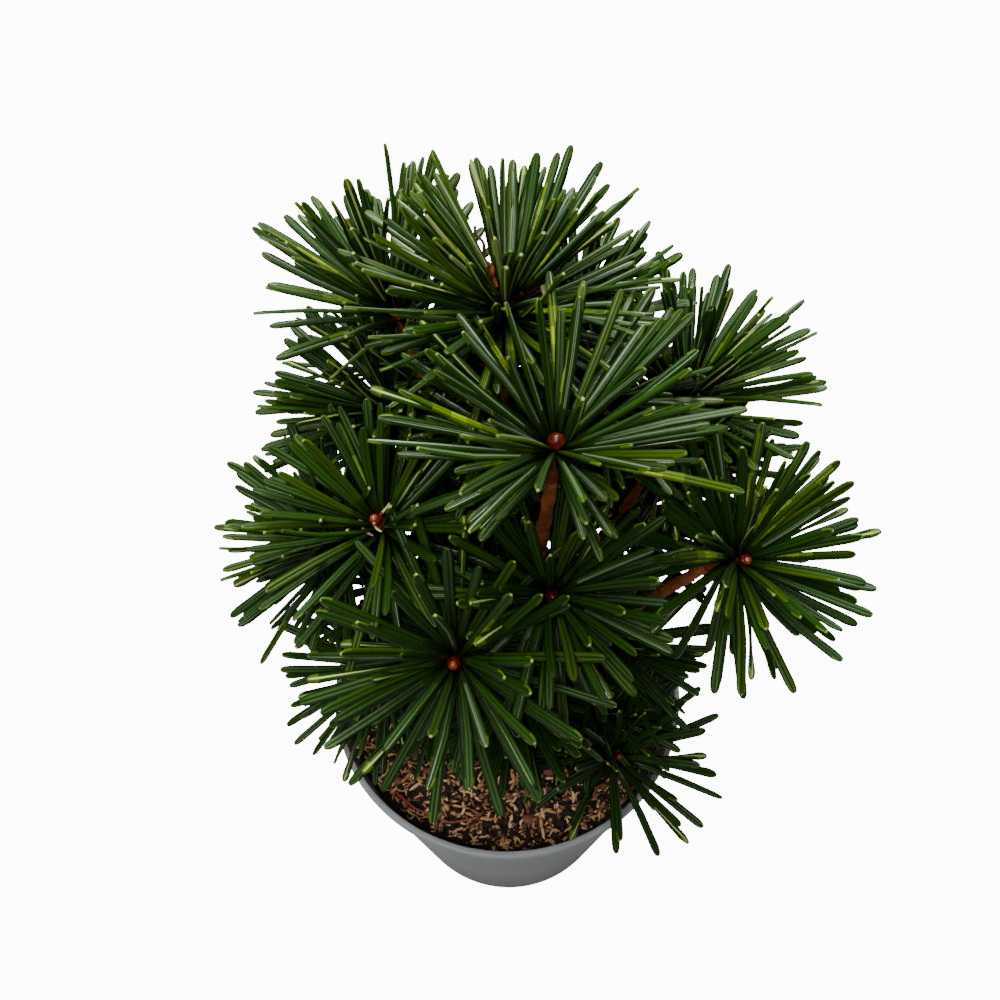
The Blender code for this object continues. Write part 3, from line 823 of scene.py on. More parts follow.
@dataclass
class TakenSpace:
    """The straight stretches of limb and needle that stand already, each with a radius."""

    starts: list = field(default_factory=list)
    ends: list = field(default_factory=list)
    radii: list = field(default_factory=list)
    owners: list = field(default_factory=list)

    def add(self, owner: int, start: np.ndarray, end: np.ndarray, radius: float) -> None:
        """Takes the space of one stretch that belongs to owner."""
        self.starts.append(start)
        self.ends.append(end)
        self.radii.append(radius)
        self.owners.append(owner)

    def add_path(self, owner: int, path: np.ndarray, radii: np.ndarray) -> None:
        """Takes the space of a limb, stretch by stretch."""
        for start, end, radius in zip(path[:-1], path[1:], radii):
            self.add(owner, start, end, float(radius))

    def is_free(self, owner: int, start: np.ndarray, end: np.ndarray, radius: float) -> bool:
        """Whether a stretch stays clear of all that belongs to others.

        The gap between two stretches is the least distance between a point of each, both
        points held between their ends.

        Args:
            owner: whose stretch it is.
            start: its first point.
            end: its last point.
            radius: its radius.

        Returns:
            True where nothing else is nearer than the two radii together.
        """
        starts, ends = np.array(self.starts), np.array(self.ends)
        along, others = end - start, ends - starts
        apart = start - starts
        own = along @ along
        theirs = (others * others).sum(axis=1) + 1e-12
        mixed = others @ along
        far = (others * apart).sum(axis=1)
        near = apart @ along
        spread = np.maximum(own * theirs - mixed ** 2, 1e-14)
        share = np.clip((mixed * far - near * theirs) / spread, 0, 1)
        other = np.clip((mixed * share + far) / theirs, 0, 1)
        share = np.clip((mixed * other - near) / own, 0, 1)
        gap = apart + share[:, None] * along - other[:, None] * others
        close = np.linalg.norm(gap, axis=1) < np.array(self.radii) + radius
        return not np.any(close & (np.array(self.owners) != owner))


@dataclass
class Limbs:
    """The trunk and the boughs, with the bark's relief."""

    soil_level: float = 0.129
    gap: float = 0.0003
    base: tuple = (0.000, 0.004)
    radius: float = 0.0092
    tip_radius: float = 0.0034
    sway: float = 0.004
    flare: float = 0.0055
    flare_height: float = 0.012
    flare_lobes: int = 5
    bough_rise: float = math.radians(28)
    bough_tip_radius: float = 0.0022
    bough_thickening: float = 0.012
    bough_bend: float = 0.75
    straight_end: float = 0.003

    def ground(self) -> float:
        """The height of the trunk's flat cut."""
        return self.soil_level + self.gap

    def trunk_point(self, height: np.ndarray) -> np.ndarray:
        """The trunk's middle at given heights: a steady lean with a slight sway in it."""
        height = np.atleast_1d(height)
        top = TOP.fork()
        share = np.clip((height - self.ground()) / (top[2] - self.ground()), 0, 1)
        x = self.base[0] + (top[0] - self.base[0]) * share
        x = x + self.sway * np.sin(2 * math.pi * share)
        y = self.base[1] + (top[1] - self.base[1]) * share ** 1.4
        return np.stack([x, y, height], axis=-1)

    def trunk_path(self, rings: int) -> tuple:
        """The trunk's middle line and radii from the compost to the top shoot's foot."""
        top = TOP.fork() - TOP.heading() * self.gap
        share = np.linspace(0, 1, rings) ** 1.25
        heights = self.ground() + (top[2] - self.straight_end - self.ground()) * share
        path = np.concatenate([self.trunk_point(heights), top[None]])
        radii = self.radius + (self.tip_radius - self.radius) * share
        radii = radii + self.flare * np.exp(-(heights - self.ground()) / self.flare_height)
        return path, np.append(radii, self.tip_radius)

    def bough_path(self, mass: Mass, rings: int) -> tuple:
        """A bough's middle line and radii: out of the trunk, then turning up into its shoot.

        The line is a cubic curve with the trunk's bearing to the fork at its foot and the
        first shoot's own direction at its tip.

        Args:
            mass: the mass that the bough carries.
            rings: how many points the line has.

        Returns:
            The points and the radii.
        """
        heading = mass.heading()
        end = mass.fork() - heading * self.gap
        tip = end - heading * self.straight_end
        foot = self.trunk_point(mass.foot)[0]
        outward = unit((tip - foot) * np.array([1.0, 1.0, 0.0]))
        rising = outward * math.cos(self.bough_rise) + UP * math.sin(self.bough_rise)
        span = np.linalg.norm(tip - foot) * self.bough_bend
        t = np.linspace(0, 1, rings)[:, None]
        path = (foot * (2 * t ** 3 - 3 * t ** 2 + 1) + rising * span * (t ** 3 - 2 * t ** 2 + t)
                + tip * (3 * t ** 2 - 2 * t ** 3) + heading * span * (t ** 3 - t ** 2))
        path = np.concatenate([path, end[None]])
        length = np.linalg.norm(path[-1] - path[0])
        share = np.linspace(0, 1, rings + 1)
        return path, self.bough_tip_radius + self.bough_thickening * length * (1 - share)

    @staticmethod
    def bark_relief(rings: np.ndarray, path: np.ndarray, seed: int, depth: float) -> np.ndarray:
        """Rings pushed in and out along their spokes by the bark.

        The push is layered noise stretched along the limb, plus rows of small leaf scars:
        bumps at cos(8 a + 900 s) * cos(5 a - 900 s), kept where both are high.

        Args:
            rings: an array of rings by sides by 3.
            path: the limb's middle line.
            seed: picks the noise.
            depth: the push in metres.

        Returns:
            The pushed rings.
        """
        count, sides = rings.shape[:2]
        spokes = rings - path[:, None]
        size = np.linalg.norm(spokes, axis=-1, keepdims=True)
        steps = np.linalg.norm(np.diff(path, axis=0), axis=1)
        along = np.concatenate([[0.0], np.cumsum(steps)])
        places = rings.reshape(-1, 3) / np.array([0.0022, 0.0022, 0.0055])
        rough = layered_noise(places, seed).reshape(count, sides, 1)
        angle = 2 * math.pi * np.arange(sides) / sides
        rows = np.cos(8 * angle[None] + 900 * along[:, None])
        rows = rows * np.cos(5 * angle[None] - 900 * along[:, None])
        scars = np.clip(rows - 0.35, 0, 1)[..., None]
        return rings + spokes / size * depth * (rough + 1.6 * scars)

    def build(self, groups: Groups, taken: TakenSpace) -> list:
        """Makes the trunk and each bough.

        Args:
            groups: the shared node groups.
            taken: the space that the limbs fill, for the needles to keep clear of.

        Returns:
            The pieces.
        """
        bark = BARK.material(groups)
        path, radii = self.trunk_path(170)
        angle = 2 * math.pi * np.arange(40) / 40
        flare = np.exp(-(path[:, 2] - self.ground()) / self.flare_height)
        lobes = 1.0 + 0.22 * flare[:, None] * np.cos(self.flare_lobes * angle)
        rings = carried_rings(path, radii[:, None] * lobes, 40)
        rings = self.bark_relief(rings, path, 23, 0.00045)
        rings[0, :, 2] = self.ground()
        trunk = self.limb_piece("trunk_bark", rings, bark)
        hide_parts("trunk")
        taken.add_path(-1, path[::10], radii[::10])
        pieces = [trunk]
        for number, (place, mass) in enumerate(SIDE_MASSES.items()):
            path, radii = self.bough_path(mass, 70)
            rings = carried_rings(path, radii, 24)
            rings = self.bark_relief(rings, path, 31 + number, 0.00050)
            piece = self.limb_piece(f"limb_{place}", rings, bark)
            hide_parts(f"bough_{place}")
            taken.add_path(-2 - number, path[::8], radii[::8])
            pieces.append(piece)
        return pieces

    @staticmethod
    def limb_piece(name: str, rings: np.ndarray, bark: bpy.types.Material) -> bpy.types.Object:
        """A limb from its rings."""
        points, faces = capped_tube(rings)
        pile = Pile()
        pile.add(points, faces, [0, 0, 0])
        return pile.piece(name, [bark], "bark")


@dataclass(frozen=True)
class Whorl:
    """One round of needles: how many, where on the shoot, and how far they spread."""

    count: int
    top: float
    bottom: float
    inner: float
    outer: float
    length: float


YOUNG_WHORLS = (
    Whorl(count=14, top=0.0003, bottom=0.0012, inner=22, outer=46, length=0.84),
    Whorl(count=44, top=0.0015, bottom=0.0085, inner=36, outer=90, length=1.0),
    Whorl(count=18, top=0.0095, bottom=0.0125, inner=86, outer=114, length=0.90))
TOP_WHORLS = (
    *YOUNG_WHORLS, Whorl(count=12, top=0.0095, bottom=0.0125, inner=58, outer=86, length=0.92))
OLD_WHORLS = (Whorl(count=26, top=0.0, bottom=0.0050, inner=45, outer=104, length=0.88),)


@dataclass(frozen=True)
class Habit:
    """How the needles of one mass differ from the rest.

    They are more or fewer, longer or shorter and wider or narrower than usual by a share, and
    turned by a vector towards the light. A share of them is streaked with yellow, a share is
    deep green, and a share of the steep ones is pale at its edges. Their upper faces may be
    turned towards the eye as well as to the sky. A short sector is a bearing, the half width round it and the least slope from
    upright, all in degrees, and stubs are further shares of a needle's length to try where it
    finds no room.
    """

    fullness: float = 1.0
    length: float = 1.0
    turning: tuple = (0.0, 0.0, 0.0)
    streaked: float = 0.03
    deep: float = 0.34
    pale: float = 0.0
    faces_eye: float = 0.0
    girth: float = 1.04
    short_sector: tuple = ()
    stubs: tuple = ()


USUAL_HABIT = Habit()
OLD_HABIT = Habit(1.3)
TRUNK_HABIT = Habit(2.6)
HABITS = {
    "top": Habit(2.2, 0.97, (0.12, 0.13, 0.08), 0.30, pale=0.25, girth=0.92),
    "front_high": Habit(1.2, 1.0, streaked=0.10, pale=0.16, girth=0.88,
                        short_sector=(-90, 72, 70), stubs=(0.50, 0.30)),
    # deep=0.85 makes most of this mass deep green: painted shade on a mass that the light leaves
    # dark.
    "right_front": Habit(1.4, 0.97, (-0.08, 0.14, 0.12), 0.24, deep=0.85),
    "front_left": Habit(0.85),
    "front_middle": Habit(0.9),
    "back_left_high": Habit(1.15, 1.0, (0.02, 0.38, 0.30), 0.08, faces_eye=0.7),
    "left_high": Habit(1.7, 1.04, (-0.18, -0.03, -0.02)),
    "left": Habit(1.05, 0.98, (0.00, 0.05, 0.04)),
    "right_high": Habit(1.6, 1.03, (-0.08, 0.23, 0.19), 0.20, faces_eye=0.5),
    "back_high": Habit(1.5),
    "low_right": Habit(1.0, 1.08, (0.10, 0.04, 0.00)),
    "low_front_right": Habit(0.6, 1.05, (0.24, 0.16, 0.10))}


@dataclass(frozen=True)
class Stand:
    """A place that needles grow round: its middle, the way it points and its whorls."""

    seed: str
    middle: np.ndarray
    axis: np.ndarray
    needle: float
    whorls: tuple
    habit: Habit


@dataclass(frozen=True)
class Streak:
    """A yellow streak: how bright it gets, how far it is shifted, and its half of the needle."""

    peak: float
    shift: float
    half: int

    LADDER = (Leaf.WARM, Leaf.MOSS, Leaf.LIME, Leaf.BRIGHT, Leaf.STREAK)
    FADE = (9.0, 2.0, 0.6, 0.0, 1.2, 3.0)
    COLUMN_FADE = (1.6, 0.8, 0.0, 9.0, 0.0, 0.8, 1.6, 2.5, 9.0, 2.5)

    @classmethod
    def drawn(cls, rng: random.Random) -> "Streak":
        """A streak by chance: on both halves of the needle, or on the left or right one."""
        return cls(rng.uniform(2.8, 6.4), rng.uniform(-0.12, 0.16), rng.choice((0, 0, -1, 1)))

    def tone(self, span: int, column: int) -> Leaf | None:
        """The streak's tone on one face.

        Args:
            span: the stretch of the needle, counted from its root.
            column: the column of the section.

        Returns:
            A step of the ladder, or None outside the streak.
        """
        if span >= len(self.FADE) or (self.half < 0 and 3 < column < 8) or (
                self.half > 0 and (column < 3 or column > 7)):
            return None
        step = round(self.peak - self.FADE[span] - self.COLUMN_FADE[column])
        return None if step < 1 else self.LADDER[min(step, len(self.LADDER)) - 1]


@dataclass(frozen=True)
class Needle:
    """One needle: how it lies, how it is bent, how wide it is, and its tones."""

    root: np.ndarray
    ahead: np.ndarray
    upward: np.ndarray
    length: float
    bend: float
    sway: float
    twist: float
    girth: float
    body: Leaf
    edge: Leaf
    ridge: Leaf
    tip: Leaf
    streak: Streak | None


@dataclass
class Views:
    """Lines of sight that stay free: to buds, to bare limbs, and right through to the sky."""

    limbs: Limbs
    owner: int = -99
    bud_gap: float = 0.012
    bud_radius: float = 0.0026
    limb_gap: float = 0.003
    limb_radius: float = 0.0024
    limb_steps: int = 12
    twig_steps: int = 5
    nearest: float = 0.3
    buds: tuple = ("front_high", "right_front", "front_left", "front_middle", "inner_left",
                   "low_front_right")
    bare_limbs: dict = field(default_factory=lambda: {
        "front_high": (0.010, 0.036), "right_front": (0.018, 0.044),
        "right_high": (0.042, 0.066)})
    sky: tuple = (
        ((0.135, 0.094, 0.266), 0.0040), ((0.092, 0.010, 0.201), 0.0042),
        ((0.102, 0.000, 0.193), 0.0032), ((-0.010, 0.173, 0.328), 0.0028),
        ((-0.112, 0.074, 0.251), 0.0022), ((0.081, 0.144, 0.305), 0.0022),
        ((-0.088, 0.123, 0.289), 0.0022), ((0.078, 0.109, 0.278), 0.0018),
        ((0.070, 0.106, 0.276), 0.0016))

    def keep(self, masses: dict, taken: TakenSpace) -> None:
        """Takes the space of every line of sight.

        Args:
            masses: every mass by its name.
            taken: where the lines are kept, under an owner of their own.
        """
        for place in self.buds:
            self.keep_one(masses[place].shoots[0].bud(), self.bud_gap, self.bud_radius, taken)
        for place, (start, end) in self.bare_limbs.items():
            path, _ = self.limbs.bough_path(masses[place], 60)
            path = np.concatenate([path, [masses[place].shoots[0].knob()]])[::-1]
            steps = np.linalg.norm(np.diff(path, axis=0), axis=1)
            along = np.concatenate([[0.0], np.cumsum(steps)])
            for reach in np.linspace(start, end, self.limb_steps):
                spot = np.array([np.interp(reach, along, path[:, axis]) for axis in range(3)])
                self.keep_one(spot, self.limb_gap, self.limb_radius, taken)
        for spot, radius in self.sky:
            self.keep_one(np.array(spot), 0.0, radius, taken)
        for twig in DRY_TWIGS:
            for spot in np.linspace(twig.start, twig.end, self.twig_steps):
                bud = masses[twig.place].shoots[0].bud()
                self.keep_one(bud + spot, self.limb_gap, twig.radius, taken)

    def keep_one(self, spot: np.ndarray, gap: float, radius: float, taken: TakenSpace) -> None:
        """Takes the line of sight that ends a gap before a spot."""
        sight = spot - EYE
        taken.add(self.owner, EYE + sight * self.nearest, spot - unit(sight) * gap, radius)


@dataclass
class Needles:
    """The needles of every shoot, with twigs and buds."""

    pot: Pot
    limbs: Limbs
    # Masses whose buds keep the plain scale colour on top instead of the painted highlight.
    buds_without_painted_highlight: tuple = ("front_high", "front_middle")
    old_whorl_below_fork: float = 0.018
    no_old_whorl: tuple = ("front_high", "right_front")
    old_trunk_whorls: tuple = (0.345, 0.300, 0.255)
    old_trunk_needle: float = 0.055
    width: float = 0.0041
    narrowest: float = 0.50
    full_from: float = 0.70
    thickness: float = 0.0015
    shoulders: tuple = (0.0042, 0.0018, 0.0005)
    shoulder_widths: tuple = (1.0, 0.85, 0.58, 0.34)
    scatter: float = 0.13
    short_share: float = 0.62
    root_ring: float = 0.0026
    clearance: float = 0.00105
    faces_sky: float = 0.7
    turned_over: float = 0.08
    steep: float = 0.80
    pale_girth: float = 0.68
    turns: tuple = ((0, 0), (6, 0), (-6, 0), (0, 6), (0, -6), (11, 4), (-11, 4), (9, -8), (-9, -8))
    length_shares: tuple = (1.0, 0.86, 0.72)
    stations: tuple = (0.0, 0.24, 0.60, 1.0, 1.0, 1.0, 1.0)
    streaked_stations: tuple = (0.0, 0.22, 0.33, 0.43, 0.53, 0.65, 1.0, 1.0, 1.0, 1.0)
    section: tuple = (
        (-1.00, -0.05), (-0.64, 0.62), (-0.26, 0.96), (-0.06, 0.46), (0.06, 0.46), (0.26, 0.96),
        (0.64, 0.62), (1.00, -0.05), (0.20, -0.80), (-0.20, -0.80))
    # Columns of the flanks and underside, mostly dealt deep green as painted shade.
    edges: tuple = (0, 6, 7, 9)
    ridges: tuple = (2, 4)
    groove: int = 3
    band: int = 8

    def young_stands(self, place: str, mass: Mass) -> list:
        """The shoots of a mass as places that needles grow round."""
        habit = HABITS.get(place, USUAL_HABIT)
        whorls = TOP_WHORLS if place == "top" else YOUNG_WHORLS
        return [Stand(f"{place} {number}", shoot.bud(), shoot.axis(), shoot.needle, whorls, habit)
                for number, shoot in enumerate(mass.shoots)]

    def old_stands(self, place: str, mass: Mass) -> list:
        """Last year's whorls: one a little way down the bough, or some on the trunk.

        Args:
            place: the mass's name.
            mass: the mass.

        Returns:
            The places that its older needles grow round.
        """
        if place in self.no_old_whorl:
            return []
        if place == "top":
            spots = [self.limbs.trunk_point(height)[0] for height in self.old_trunk_whorls]
            return [Stand(f"{place} old {number}", spot, mass.heading(), self.old_trunk_needle,
                          OLD_WHORLS, TRUNK_HABIT) for number, spot in enumerate(spots)]
        path, _ = self.limbs.bough_path(mass, 60)
        steps = np.linalg.norm(np.diff(path, axis=0), axis=1)
        left = steps[::-1].cumsum()[::-1]
        at = int(np.argmin(np.abs(left - self.old_whorl_below_fork)))
        axis = unit(path[at + 1] - path[at - 1])
        return [Stand(f"{place} old", path[at], axis, mass.shoots[0].needle, OLD_WHORLS,
                      OLD_HABIT)]

    def grow(self, stands: list, owner: int, taken: TakenSpace) -> list:
        """The needles of a mass that find room.

        Args:
            stands: the places that they grow round.
            owner: the number that its stretches are kept under.
            taken: the space that is filled already.

        Returns:
            The needles.
        """
        found = []
        for stand in stands:
            rng = random.Random(stand.seed)
            habit = stand.habit
            turn = rng.uniform(0, math.tau)
            for whorl in stand.whorls:
                start = math.cos(math.radians(whorl.inner))
                end = math.cos(math.radians(whorl.outer))
                count = round(whorl.count * habit.fullness)
                for index in range(count):
                    share = (index + 0.5) / count
                    azimuth = turn + index * GOLDEN_ANGLE
                    azimuth += rng.uniform(-self.scatter, self.scatter)
                    slant = math.acos(start + (end - start) * share)
                    slant += rng.uniform(-self.scatter, self.scatter)
                    length = stand.needle * whorl.length * (0.91 + 0.09 * share)
                    length *= habit.length * rng.uniform(0.84, 1.03)
                    depth = whorl.top + (whorl.bottom - whorl.top) * share
                    room = self.find_room(stand, owner, (depth, azimuth, slant, length), taken)
                    look = random.Random(f"{stand.seed} {whorl.inner} {index}")
                    if room:
                        found.append(self.dress(habit, room, look))
                turn += GOLDEN_ANGLE / 2
        return found

    def dress(self, habit: Habit, room: tuple, rng: random.Random) -> Needle:
        """A needle in the room that was found for it, with its bend and its tones by chance.

        Args:
            habit: the habit of its mass.
            room: root, direction, upper side and length.
            rng: the needle's own source of chance.

        Returns:
            The needle.
        """
        root, ahead, upward, length = room
        short = self.in_sector(habit.short_sector, ahead)
        low, middle = root[2] < 0.24, 0.24 <= root[2] < 0.34
        grey = 0.45 if low else 0.08 if middle else 0.30
        warm = 0.50 if short else 0.04 if low else 0.14
        chance = rng.random()
        if chance < grey:
            body = Leaf.GREY
        elif chance < grey + warm:
            body = Leaf.WARM
        else:
            body = Leaf.DEEP if chance > 1.0 - habit.deep else Leaf.GREEN
        twist = rng.gauss(0, 0.28)
        if rng.random() < self.turned_over:
            twist += rng.choice((-math.pi, math.pi))
        streaked = rng.random() < habit.streaked
        bend, sway = rng.gauss(-0.02, 0.07), rng.gauss(0.0, 0.055)
        girth = rng.uniform(0.88, 1.08) * habit.girth
        ridge = self.ridge_tone(root[2], rng.random())
        tip = self.tip_tone(root[2], rng.random())
        streak = Streak.drawn(rng) if streaked else None
        # Flanks and underside take deep green as painted shade on the sides turned from the light;
        # warm needles keep their own tone there.
        edge = Leaf.WARM if body is Leaf.WARM else Leaf.DEEP
        if rng.random() < habit.pale and ahead[2] > self.steep:
            body, edge = Leaf.MOSS, Leaf.TIP
            girth *= self.pale_girth
        return Needle(root, ahead, upward, length, bend, sway, twist, girth,
                      body, edge, ridge, tip, streak)

    @staticmethod
    def ridge_tone(height: float, chance: float) -> Leaf:
        """The tone of a needle's ridges: painted sheen or a painted highlight line, more often high
        on the plant where the light falls, and the body's green lower down.

        Args:
            height: the height of the needle's root.
            chance: a number from 0 to 1.

        Returns:
            The tone.
        """
        sheen_share = 0.65 * min(max((height - 0.30) / 0.09, 0.02), 1.0)
        if chance < sheen_share:
            return Leaf.PAINTED_SHEEN
        return Leaf.RIDGE if height > 0.33 or chance < sheen_share + 0.18 else Leaf.GREEN

    @staticmethod
    def tip_tone(height: float, chance: float) -> Leaf:
        """The tone of a needle's tip: cream on some, and more often so low on the plant.

        Args:
            height: the height of the needle's root.
            chance: a number from 0 to 1.

        Returns:
            The tone.
        """
        high = height > 0.36
        if chance < (0.35 if high else 0.60):
            return Leaf.TIP
        return Leaf.MOSS if high else Leaf.GREEN

    @staticmethod
    def in_sector(sector: tuple, ahead: np.ndarray) -> bool:
        """Whether a needle's direction falls in a sector.

        Args:
            sector: a bearing, the half width round it and the least slope from upright, all
                in degrees, or nothing.
            ahead: the needle's direction.

        Returns:
            True where it does.
        """
        if not sector:
            return False
        bearing, half_width, slope = sector
        away = math.degrees(math.atan2(ahead[1], ahead[0])) - bearing
        away = abs((away + 180) % 360 - 180)
        return away < half_width and math.degrees(math.acos(ahead[2])) > slope

    def find_room(self, stand: Stand, owner: int, setting: tuple,
                  taken: TakenSpace) -> tuple | None:
        """The first of a needle's tries that keeps clear of the others.

        Args:
            stand: what the needle grows on.
            owner: the number that the mass's stretches are kept under.
            setting: how far below the bud it starts, its azimuth, slant and length.
            taken: the space that is filled already.

        Returns:
            Root, direction, upper side and length, or None.
        """
        depth, azimuth, slant, length = setting
        axis, habit = stand.axis, stand.habit
        middle = stand.middle - axis * depth
        right = np.array(Vector(axis).orthogonal().normalized())
        forward = np.cross(axis, right)
        turning = np.array(habit.turning)
        to_eye = unit(EYE - middle)
        for share in self.length_shares + habit.stubs:
            for sideways, upwards in self.turns:
                spin = azimuth + math.radians(sideways)
                tilt = slant - math.radians(upwards)
                spoke = right * math.cos(spin) + forward * math.sin(spin)
                ahead = unit(axis * math.cos(tilt) + spoke * math.sin(tilt) + turning)
                upward = axis * math.sin(tilt) - spoke * math.cos(tilt)
                upward = upward + BRIGHT_SKY * self.faces_sky + to_eye * habit.faces_eye
                upward = unit(upward - ahead * (upward @ ahead))
                start = middle + spoke * self.root_ring
                short = self.in_sector(habit.short_sector, ahead)
                reach = length * share * (self.short_share if short else 1.0)
                tip = start + ahead * reach
                clear = start + ahead * reach * 0.12
                if self.clears_pot(start, tip) and taken.is_free(owner, clear, tip,
                                                                 self.clearance):
                    taken.add(owner, start, tip, self.clearance)
                    return start, ahead, upward, reach
        return None

    def clears_pot(self, start: np.ndarray, tip: np.ndarray) -> bool:
        """Whether a needle stays above the compost and off the pot's wall."""
        places = start + (tip - start) * np.linspace(0, 1, 12)[:, None]
        spread = np.hypot(places[:, 0], places[:, 1])
        low = places[:, 2] < self.pot.height + 0.002
        outer = self.pot.rim_radius + 0.003
        inner = self.pot.inner_radius(0.12) - 0.002
        in_wall = low & (spread > inner) & (spread < outer)
        in_soil = (places[:, 2] < 0.133) & (spread < outer)
        return not np.any(in_wall | in_soil) and float(places[:, 2].min()) > 0.004

    def add_needles(self, pile: Pile, needles: list, stations: tuple) -> None:
        """Adds needles that share their stations.

        The middle line is root + direction * s * length + upper side * bend * s ** 2 * length
        + sideways * sway * s ** 2 * length, and the section turns by twist * s along it. The
        width is the widest times n + (1 - n) * sin(pi / 2 * s / f) up to s = f, with n the
        narrowest and f full_from, and draws in over the shoulders to the blunt tip.

        Args:
            pile: where the needles go.
            needles: the needles.
            stations: the places along the needle, from 0 to 1.
        """
        if not needles:
            return
        count, spans, sides = len(needles), len(stations) - 1, len(self.section)
        root, ahead, upward = (np.array([getattr(needle, name) for needle in needles])
                               for name in ("root", "ahead", "upward"))
        length, bend, sway, twist, girth = (
            np.array([getattr(needle, name) for needle in needles])[:, None, None]
            for name in ("length", "bend", "sway", "twist", "girth"))
        across = np.cross(ahead, upward)
        s = np.tile(np.array(stations)[None, :, None], (count, 1, 1))
        s[:, -4:-1] -= np.array(self.shoulders)[:, None] / length
        shift = [needle.streak.shift if needle.streak else 0.0 for needle in needles]
        s[:, 1:-4] += np.array(shift)[:, None, None]
        push = upward[:, None] * bend + across[:, None] * sway
        middle = root[:, None] + ahead[:, None] * s * length + push * s ** 2 * length
        tangent = unit(ahead[:, None] + 2 * s * push)
        side = np.broadcast_to(across[:, None], tangent.shape)
        side = unit(side - tangent * (side * tangent).sum(-1, keepdims=True))
        above = np.cross(side, tangent)
        cosine, sine = np.cos(twist * s), np.sin(twist * s)
        side, above = side * cosine + above * sine, above * cosine - side * sine
        section = np.array(self.section)
        widening = np.sin(math.pi / 2 * np.minimum(s / self.full_from, 1.0))
        widths = self.narrowest + (1 - self.narrowest) * widening
        widths[:, -4:] *= np.array(self.shoulder_widths)[:, None]
        widths = (widths * girth)[:, :, None] * self.width / 2
        heights = np.minimum(widths * 2, self.thickness / 2)
        points = (middle[:, :, None] + side[:, :, None] * section[None, None, :, :1] * widths
                  + above[:, :, None] * section[None, None, :, 1:] * heights)
        each = np.arange(count)[:, None, None] * (spans + 1) * sides
        quads = (ring_quads(spans + 1, sides)[None] + each).reshape(-1, 4)
        ends = np.stack([np.arange(sides)[::-1], np.arange(sides) + spans * sides])
        ends = (ends[None] + each).reshape(-1, sides)
        number = {tone: place for place, tone in enumerate(Leaf)}
        caps = np.array([(number[Leaf.ROOT_SHADE], number[needle.tip]) for needle in needles])
        tones = np.stack([self.deal(needle, spans, number) for needle in needles])
        pile.add(points.reshape(-1, 3), [quads, ends], [tones.reshape(-1), caps.reshape(-1)])

    def deal(self, needle: Needle, spans: int, number: dict) -> np.ndarray:
        """The finish of each quad: body, edges, ridges, streak, groove, pale band, pale tip. Deep
        green on the edges, the groove and the root is painted shade, and the ridge tones are
        painted highlight or sheen.

        Args:
            needle: the needle.
            spans: how many stretches it has.
            number: the finish number of each tone.

        Returns:
            A finish number for each stretch and column.
        """
        result = np.full((spans, len(self.section)), number[needle.body])
        # Edges: deep green painted shade, the warm needles' own tone, or the cream of pale needles.
        result[:, list(self.edges)] = number[needle.edge]
        result[:, list(self.ridges)] = number[needle.ridge]
        if needle.streak:
            for span, column in np.ndindex(result.shape):
                tone = needle.streak.tone(span, column)
                if tone:
                    result[span, column] = number[tone]
        # The first stretch takes the root's painted shade.
        result[0] = number[Leaf.ROOT_SHADE]
        # The groove between the ridges takes painted shade.
        result[1:-1, self.groove] = number[Leaf.GROOVE_SHADE]
        result[1:-1, self.band] = number[Leaf.BAND]
        result[-1, list(self.ridges)] = number[needle.tip]
        # Near the tip the flanks and underside turn lighter yellow-green: partly the tip's own
        # colour, partly painted light on the needle's outer end against the root's painted shade.
        if needle.tip is not Leaf.GREEN and needle.edge is not Leaf.TIP:
            result[-3:, list(self.edges)] = number[Leaf.MOSS]
        return result

    def build(self, groups: Groups, taken: TakenSpace) -> list:
        """Makes the needles of each mass, all twigs and all buds.

        Args:
            groups: the shared node groups.
            taken: the space that the limbs fill.

        Returns:
            The pieces.
        """
        leaves = [tone.value.material(groups) for tone in Leaf]
        woods = [tone.value.material(groups) for tone in Wood]
        masses = {"top": TOP, **SIDE_MASSES}
        twigs, buds = Pile(), Pile()
        for owner, (place, mass) in enumerate(masses.items()):
            for shoot in mass.shoots:
                self.add_twig(twigs, mass, shoot, owner, taken)
                self.add_bud(buds, shoot, Wood.BUD if place in self.buds_without_painted_highlight else Wood.BUD_HIGHLIGHT)
        for twig in DRY_TWIGS:
            self.add_dry_twig(twigs, twig, masses[twig.place].shoots[0].bud())
        Views(self.limbs).keep(masses, taken)
        young = {
            place: self.grow(self.young_stands(place, mass), owner, taken)
            for owner, (place, mass) in enumerate(masses.items())}
        pieces = []
        for owner, (place, mass) in enumerate(masses.items()):
            needles = young[place] + self.grow(self.old_stands(place, mass), owner, taken)
            pile = Pile()
            self.add_needles(pile, [n for n in needles if not n.streak], self.stations)
            self.add_needles(pile, [n for n in needles if n.streak], self.streaked_stations)
            piece = pile.piece(f"spray_{place}", leaves, "needles")
            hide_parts(f"needles_{place}")
            pieces.append(piece)
            LOG.info("%s carries %d needles", place, len(needles))
        pieces.append(twigs.piece("twigs", woods, "bark"))
        pieces.append(buds.piece("buds", woods, "bark"))
        return pieces

